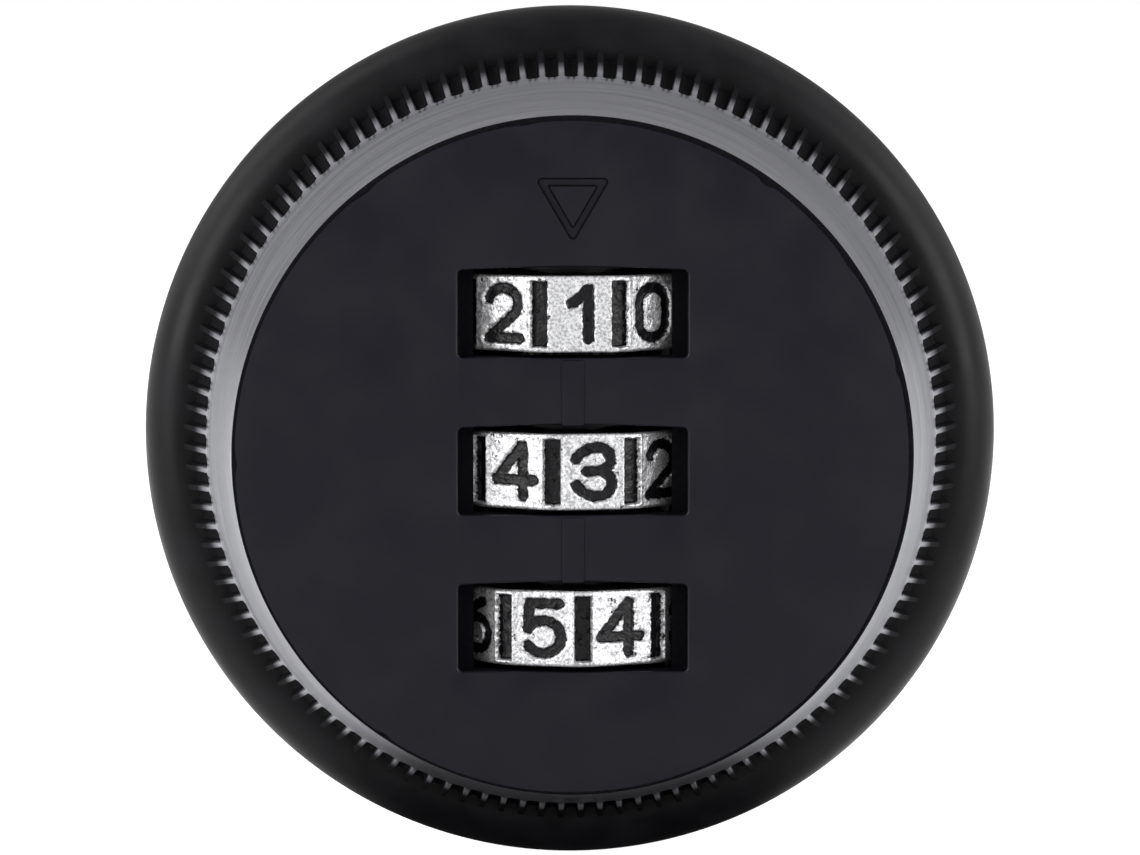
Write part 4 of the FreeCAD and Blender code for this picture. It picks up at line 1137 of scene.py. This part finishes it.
    def window_patches(self, corners: Array) -> tuple[list[Patch], Array, Array]:
        """Build one window's rounded edge, its wall, and the dark ledges beside the wheel.

        Args:
            corners: the window's corners.

        Returns:
            The patches, the loop in the face, and the loop in the face's back.
        """
        loops = []
        for turn in quarter_turn(self.window_rows).ravel():
            grow = self.window_round * (1 - math.sin(turn))
            drop = self.window_round * (1 - math.cos(turn))
            loops.append((round_loop(corners, self.window_corner, grow), self.height - drop))
        edge = Patch.strip(loops)
        outer = loops[-1][0]
        inner = outer.copy()
        inner[:, 0] = np.clip(inner[:, 0], -self.ledge_inner, self.ledge_inner)
        ledge, back = self.height - self.ledge_depth, self.height - self.wall
        levels = ((outer, self.height - self.window_round), (outer, ledge), (inner, ledge), (inner, back))
        return [edge, Patch.strip(levels, Coat.DULL)], loops[0][0], inner

    def arrow_patches(self) -> tuple[list[Patch], Array]:
        """Engrave the arrow: a line of even width round a triangle that points down.

        Returns:
            The patches, and the loop in the face.
        """
        half = self.arrow_width / 2
        corners = np.array([(-half, self.arrow_top), (0.0, self.arrow_top - self.arrow_height),
                            (half, self.arrow_top)])
        island = inset(corners, self.arrow_line)
        floor = self.height - self.arrow_depth
        rim = self.height - self.arrow_round
        corner, small = self.arrow_corner, self.island_corner
        outer = [round_loop(corners, corner, self.arrow_round), round_loop(corners, corner)]
        inner = [round_loop(island, small, -self.arrow_round), round_loop(island, small)]
        patches = [flat_region(outer[1], [inner[1]], floor), flat_region(inner[0], [], self.height)]
        for slope, edge in (outer, inner):
            patches.append(Patch.strip(((slope, self.height), (edge, rim), (edge, floor)), Coat.DULL))
        return patches, outer[0]

    def index_patches(self, low: float, high: float) -> tuple[list[Patch], Array]:
        """Raise the thin index strip between two windows.

        Args:
            low: its lower end.
            high: its upper end.

        Returns:
            The patches, and the loop in the face.
        """
        corners = rectangle(self.index_width, low, high)
        base = round_loop(corners, self.index_corner, self.index_slope)
        crest = round_loop(corners, self.index_corner)
        top = self.height + self.index_relief
        return [Patch.strip(((base, self.height), (crest, top))), flat_region(crest, [], top)], base

    def boss_patches(self, side: int) -> tuple[list[Patch], Array]:
        """Build one screw boss on the face's back, with its blind hole.

        Args:
            side: -1 for the left boss and 1 for the right.

        Returns:
            The patches, and the loop in the face's back.
        """
        centre = (self.boss_spread * side, 0.0)
        outer = circle_loop(self.boss_radius, centre)
        hole = circle_loop(self.boss_hole, centre)
        under = self.height - self.wall
        levels = ((outer, under), (outer, self.skirt_low), (hole, self.skirt_low), (hole, under))
        return [Patch.strip(levels), flat_region(hole, [], under)], outer

    def cut_reset_hole(self) -> None:
        """Drill the reset hole through the band's lower side."""
        mesh = bpy.data.meshes.new("reset_drill")
        radius = self.reset_radius * MM
        work = bmesh.new()
        bmesh.ops.create_cone(work, cap_ends=True, segments=self.drill_sides, radius1=radius,
                              radius2=radius, depth=self.drill_length * MM)
        place = Vector((0.0, -self.reset_height, -self.drill_place)) * MM
        bmesh.ops.translate(work, verts=work.verts, vec=place)
        work.to_mesh(mesh)
        work.free()
        cutter = stand("reset_drill", mesh)
        drill = self.piece.modifiers.new("drill", "BOOLEAN")
        drill.object = cutter
        drill.operation = "DIFFERENCE"
        drill.solver = "EXACT"
        bake_modifiers(self.piece)
        bpy.data.objects.remove(cutter)

    def build(self) -> bpy.types.Object:
        """Build the knob as one closed shell.

        Returns:
            The knob's object.
        """
        patches, face_loop = self.outer_patches()
        face_holes, back_holes = [], []
        for centre in self.window_centres:
            low, high = centre - self.window_height / 2, centre + self.window_height / 2
            walls, front, back = self.window_patches(self.window_corners(low, high))
            patches += walls
            face_holes.append(front)
            back_holes.append(back)
        for upper, lower in zip(self.window_centres, self.window_centres[1:]):
            low = lower + self.window_height / 2 + self.index_gap
            high = upper - self.window_height / 2 - self.index_gap
            strip, loop = self.index_patches(low, high)
            patches += strip
            face_holes.append(loop)
        arrow, loop = self.arrow_patches()
        patches += arrow
        face_holes.append(loop)
        for side in (-1, 1):
            boss, loop = self.boss_patches(side)
            patches += boss
            back_holes.append(loop)
        patches.append(flat_region(face_loop, face_holes, self.height))
        bore_loop = about_axis(self.bore_radius, 0.0, columns_of(self.columns))[0][:, [0, 2]] / MM
        patches.append(flat_region(bore_loop, back_holes, self.height - self.wall))
        self.piece = weld("knob_shell", patches, self.sharp_angle)
        for finish in (SatinBlack(), DarkBrushed(), DullBlack()):
            self.piece.data.materials.append(finish.make())
        self.cut_reset_hole()
        shade(self.piece.data, self.sharp_angle)
        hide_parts("knob_cover")
        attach(self.piece, Body.KNOB.value)
        return self.piece


@dataclass
class Housing:
    """The round flange and the threaded barrel behind it, as one casting."""

    flange_radius: float = 20.0
    flange_height: float = 4.3
    front_round: float = 1.9
    back_chamfer: float = 1.0
    cavity_radius: float = 16.0
    floor_height: float = 1.6
    thrust_radius: float = 9.6
    thrust_depth: float = 0.4
    bore_radius: float = 6.6
    seat_radius: float = 7.1
    seat_depth: float = 20.0
    barrel_radius: float = 9.5
    barrel_length: float = 21.2
    barrel_chamfer: float = 0.6
    half_flats: float = 8.0
    notch_angle: float = 58.0
    thread_pitch: float = 1.0
    thread_depth: float = 0.5
    thread_crest: float = 0.12
    thread_flank: float = 0.74
    thread_start: float = 1.6
    thread_fade: float = 0.6
    blank_share: float = 0.6
    barrel_gaps: tuple = (0.05, 0.12)
    edge_break: float = 0.08
    chamfer_breaks: tuple = (0.1, 0.03, 0.05)
    thread_rows: int = 156
    front_rows: int = 12
    columns: int = 320

    def thread(self, depth: Array, angle: Array) -> Array:
        """Cut a right-hand thread: a wave of depth that climbs one pitch a turn.

        Args:
            depth: the rows' depths behind the flange.
            angle: the columns' angles.

        Returns:
            The radius at each point.
        """
        phase = (depth / self.thread_pitch + angle / FULL_TURN) % 1.0
        wave = np.abs(phase - 0.5) * 2
        flank = np.clip((wave - self.thread_crest) / self.thread_flank, 0.0, 1.0)
        fade = smooth_step(self.thread_start - self.thread_fade, self.thread_start, depth)
        sunk = flank * fade + self.blank_share * (1 - fade)
        radius = self.barrel_radius - self.thread_depth * sunk
        cone = self.barrel_radius + self.barrel_length - self.barrel_chamfer - depth
        return np.minimum(radius, cone)

    def build(self) -> bpy.types.Object:
        """Build the casting as one closed turned grid, with flats and the stop's notch.

        Returns:
            The casting's object.
        """
        angle = columns_of(self.columns)
        end = self.barrel_length
        floor = self.floor_height
        inner = [(self.bore_radius, floor - self.thrust_depth), (self.bore_radius, -self.seat_depth),
                 (self.seat_radius, -self.seat_depth), (self.seat_radius, -end),
                 (self.barrel_radius - self.barrel_chamfer, -end)]
        end_gap, flange_gap = self.barrel_gaps
        depth = np.linspace(end - end_gap, flange_gap, self.thread_rows)[:, None]
        barrel = self.thread(depth, angle)
        arc = quarter_turn(self.front_rows).ravel()
        shoulder = self.flange_radius - self.front_round
        bow_radius = shoulder + self.front_round * np.cos(arc)
        bow_height = self.flange_height - self.front_round * (1 - np.sin(arc))
        back_edge = self.flange_radius - self.back_chamfer
        inwards, lift, trim = self.chamfer_breaks
        small = self.edge_break
        outer = [(self.barrel_radius, 0.0), (back_edge - inwards, 0.0), (back_edge, lift),
                 (self.flange_radius - trim, self.back_chamfer - trim),
                 (self.flange_radius, self.back_chamfer + small),
                 *zip(bow_radius, bow_height), (self.cavity_radius + small, self.flange_height),
                 (self.cavity_radius, self.flange_height - small), (self.cavity_radius, floor),
                 (self.thrust_radius, floor), (self.thrust_radius, floor - self.thrust_depth)]
        inner_rows, outer_rows = np.array(inner), np.array(outer)
        spread = np.ones(angle.shape)
        radii = np.concatenate([inner_rows[:, :1] * spread, barrel, outer_rows[:, :1] * spread])
        heights = np.concatenate([inner_rows[:, 1:], -depth, outer_rows[:, 1:]]) * spread
        flats = self.half_flats / np.maximum(np.abs(np.cos(angle)), TINY)
        behind = np.zeros((len(radii), 1), dtype=bool)
        behind[len(inner) - 1:len(inner) + len(depth) + 1] = True
        radii = np.where(behind, np.minimum(radii, flats), radii)
        from_top = np.abs((angle - math.pi / 2 + math.pi) % FULL_TURN - math.pi)
        notched = from_top < math.radians(self.notch_angle)
        heights = np.where(notched, np.maximum(heights, -self.seat_depth), heights)
        grid = about_axis(radii, heights, angle)
        piece = weld("housing_casting", [Patch.turned(grid, close_rows=True)])
        piece.data.materials.append(CastBlack().make())
        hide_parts("housing")
        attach(piece, Body.HOUSING.value)
        return piece


@dataclass
class Hardware:
    """The plain metal pieces, which keep their shape and get softened edges and a finish."""

    bevel: float = 0.07
    bevel_rows: int = 2
    bevel_angle: float = 50.0
    coils: tuple = (
        ("clutch_spring", Body.SPINDLE, (0.0, -9.4, 11.95), (0.0, -9.4, 9.15)),
        ("plate_spring_upper", Body.LOCKING_PLATE, (0.0, -4.85, 12.6), (0.0, -2.6, 12.6)),
        ("plate_spring_lower", Body.LOCKING_PLATE, (0.0, -4.85, -10.83), (0.0, -2.6, -10.83)),
    )

    def soften(self, node: str, body: Body, material: bpy.types.Material) -> None:
        """Stand a merged copy with softened edges in for a node.

        Args:
            node: the node's name.
            body: the body that it rides on.
            material: its finish.
        """
        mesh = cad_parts[node].data.copy()
        close_up(mesh)
        piece = stand(f"{node}_softened", mesh)
        edge = piece.modifiers.new("edge", "BEVEL")
        edge.width = self.bevel * MM
        edge.segments = self.bevel_rows
        edge.limit_method = "ANGLE"
        edge.angle_limit = math.radians(self.bevel_angle)
        edge.use_clamp_overlap = True
        bake_modifiers(piece)
        shade(piece.data)
        piece.data.materials.clear()
        piece.data.materials.append(material)
        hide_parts(node)
        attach(piece, body.value)
        log.info("softened %s", node)

    def dress(self, node: str, material: bpy.types.Material) -> None:
        """Give a node of the frame its finish."""
        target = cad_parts[node]
        for slot in target.material_slots:
            slot.material = material

    def squeeze(self, node: str,
                material: bpy.types.Material) -> None:
        """Stand a copy in for a coil spring.

        Args:
            node: the spring's node, which rides on the knob.
            material: its finish.
        """
        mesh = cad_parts[node].data.copy()
        mesh.name = f"{node}_coil"
        mesh.materials.clear()
        mesh.materials.append(material)
        piece = stand(mesh.name, mesh)
        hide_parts(node)
        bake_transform(piece)
        log.info("stood in a coil for %s", node)

    def build(self) -> None:
        """Soften and dress every plain piece."""
        bright, spring = ZincPlate().make(), SpringSteel().make()
        casting, nylon = DarkCasting().make(), NylonWasher().make()
        for node, body in (("mounting_nut", Body.HOUSING), ("lock_washer", Body.HOUSING),
                           ("cam", Body.KNOB), ("cam_screw", Body.KNOB), ("stop_washer", Body.KNOB)):
            self.soften(node, body, bright)
        self.soften("cam_washer", Body.KNOB, spring)
        for node in ("rotor", "sleeve_top", "sleeve_middle", "sleeve_bottom"):
            self.dress(node, casting)
        for node in ("cover_screws", "spindle", "locking_plate"):
            self.dress(node, bright)
        for node in ("detent_spring_top", "detent_spring_middle", "detent_spring_bottom"):
            self.dress(node, spring)
        for node, pusher, start, end in self.coils:
            self.squeeze(node, spring)
        self.dress("thrust_washer", nylon)


@dataclass
class Studio:
    """The pale floor, the soft light all round, and the camera."""

    floor_reach: float = 3.0
    floor_gap: float = 0.05
    floor_seen: float = 0.6
    floor_mirrored: float = 0.72
    floor_sides: tuple = (10.0, 18.0)
    floor_front: tuple = (-30.0, -18.0)
    floor_colour: tuple = (0.72, 0.72, 0.72, 1.0)
    # Painted reflection: the floor's dark colour in the strip under and behind the lock, for glossy rays
    # only.
    reflected_shade_colour: tuple = (0.09, 0.09, 0.09, 1.0)
    floor_roughness: float = 0.9
    front_level: float = 0.32
    middle_level: float = 0.5
    side_level: float = 1.2
    front_range: tuple = (-0.95, -0.6)
    side_range: tuple = (0.45, 0.8)
    behind_range: tuple = (-0.3, 0.5)
    low_range: tuple = (-0.05, 0.14)
    low_widening: float = 0.38
    lamp_distance: float = 0.6
    lamp_size: tuple = (0.34, 0.5)
    lamps: tuple = (("lamp_left", (-0.77, -0.64, 0.12), 2.3), ("lamp_right", (0.77, -0.64, 0.12), 2.1),
                    ("lamp_upper_left", (-0.72, 0.05, 0.69), 0.85),
                    ("lamp_upper_right", (0.72, 0.05, 0.69), 0.4))
    camera_distance: float = 250.0
    camera_height: float = 1.9
    camera_rise: float = 0.116
    elevation: float = 5.35
    azimuth: float = -0.57
    focal_length: float = 167.1
    sensor_width: float = 36.0
    clip_start: float = 0.01

    def build_floor(self) -> None:
        """Lay a pale floor under the lock, which shows white where no shadow falls.

        Polished pieces see a painted reflection in it: for their rays alone it glows bright at
        the sides and turns dark in a strip under the lock and behind it.
        """
        reach, level = self.floor_reach, FRAME_BOUNDS[0][2] - self.floor_gap * MM
        mesh = bpy.data.meshes.new("floor")
        corners = [(x * reach, y * reach, level) for x, y in ((-1, -1), (1, -1), (1, 1), (-1, 1))]
        mesh.from_pydata(corners, [], [(0, 1, 2, 3)])
        floor = stand("floor", mesh)
        board = Board(bpy.data.materials.new("pale_floor"))
        rays = board.node("LightPath").outputs
        parts = board.node("SeparateXYZ", {0: board.place()}).outputs
        near, far = (place * MM for place in self.floor_sides)
        middle = board.ranged(board.math("ABSOLUTE", parts[0]), near, far, 1.0, 0.0)
        start, end = (place * MM for place in self.floor_front)
        behind = board.ranged(parts[1], start, end)
        # Painted reflection: the floor turns dark for glossy rays in a strip under and behind the lock.
        strip = board.math("MULTIPLY", rays["Is Glossy Ray"], board.math("MULTIPLY", middle, behind))
        colour = board.mix(strip, self.floor_colour, self.reflected_shade_colour)
        seen = board.math("MULTIPLY", rays["Is Camera Ray"], self.floor_seen)
        # Painted reflection: the floor glows for glossy rays beside and behind the lock, not in front.
        aside = board.math("SUBTRACT", board.math("MULTIPLY", rays["Is Glossy Ray"], behind), strip)
        mirrored = board.math("MULTIPLY", aside, self.floor_mirrored)
        glow = board.math("ADD", seen, mirrored)
        board.fill(board.shader, {"Emission Strength": glow, "Emission Color": WHITE})
        mesh.materials.append(board.finish(colour, self.floor_roughness, specular=0.0))

    def build_world(self) -> None:
        """Light the lock from both sides and softly from the rest, and show white behind.

        The level rises with a direction's distance from the plane x = 0, and rises sooner
        low behind the lock, where the knob's band mirrors it. It is lowest in front.
        """
        world = bpy.data.worlds.new("soft_room")
        bpy.context.scene.world = world
        board = Board(world)
        direction = board.node("TexCoord").outputs["Generated"]
        x, y, z = board.node("SeparateXYZ", {0: direction}).outputs
        curve = "SMOOTHSTEP"
        behind = board.ranged(y, *self.behind_range, 0.0, self.low_widening, curve)
        low = board.ranged(z, *self.low_range, 1.0, 0.0, curve)
        reach = board.math("ADD", board.math("ABSOLUTE", x), board.math("MULTIPLY", behind, low))
        middle = board.ranged(y, *self.front_range, self.front_level, self.middle_level, curve)
        sides = board.ranged(reach, *self.side_range, 0.0, self.side_level, curve)
        level = board.math("MAXIMUM", middle, sides)
        seen = board.math("MAXIMUM", level, board.node("LightPath").outputs["Is Camera Ray"])
        board.fill(board.shader, {"Strength": seen, "Color": WHITE})

    def build_lamps(self) -> None:
        """Set soft lamps at the front sides, for the wheels, and above, for the flange."""
        for name, direction, power in self.lamps:
            light = bpy.data.lights.new(name, "AREA")
            light.shape = "RECTANGLE"
            light.size, light.size_y = self.lamp_size
            light.energy = power
            lamp = stand(name, light)
            lamp.location = Vector(direction).normalized() * self.lamp_distance
            lamp.rotation_euler = (-lamp.location).to_track_quat("-Z", "Y").to_euler()
            lamp.visible_camera = False

    def build_camera(self) -> None:
        """Look at the rim's centre from a little above and a little from the left."""
        tilt, swing = math.radians(self.elevation), math.radians(self.azimuth)
        target = Vector((0.0, -self.camera_height, self.camera_rise)) * MM
        flat = math.cos(tilt)
        away = Vector((math.sin(swing) * flat, -math.cos(swing) * flat, math.sin(tilt)))
        away *= self.camera_distance * MM
        lens = bpy.data.cameras.new("camera")
        lens.lens = self.focal_length
        lens.sensor_width = self.sensor_width
        lens.clip_start = self.clip_start
        camera = stand("camera", lens)
        camera.location = target + away
        camera.rotation_euler = (-away).to_track_quat("-Z", "Y").to_euler()
        bpy.context.scene.camera = camera

    def build(self) -> None:
        """Set up the floor, the light and the camera."""
        self.build_floor()
        self.build_world()
        self.build_lamps()
        self.build_camera()
        bpy.context.scene.view_settings.view_transform = "Standard"


def dials() -> list[Dial]:
    """List the three wheels, with the digit that shows in front and its angle."""
    return [
        Dial("dial_top", Body.TOP_DIAL, 6.43, 1, 3.0),
        Dial("dial_middle", Body.MIDDLE_DIAL, -0.65, 3, 8.8),
        Dial("dial_bottom", Body.BOTTOM_DIAL, -7.73, 4, 22.4),
    ]


def main() -> None:
    """Build the pieces in order and report each one."""
    logging.basicConfig(level=logging.INFO, format="%(message)s")
    for piece in (Housing().build(), Knob().build(), *(dial.build() for dial in dials())):
        log.info("built %s, %d faces", piece.name, len(piece.data.polygons))
    Hardware().build()
    Studio().build()


if __name__ == "__main__":
    main()
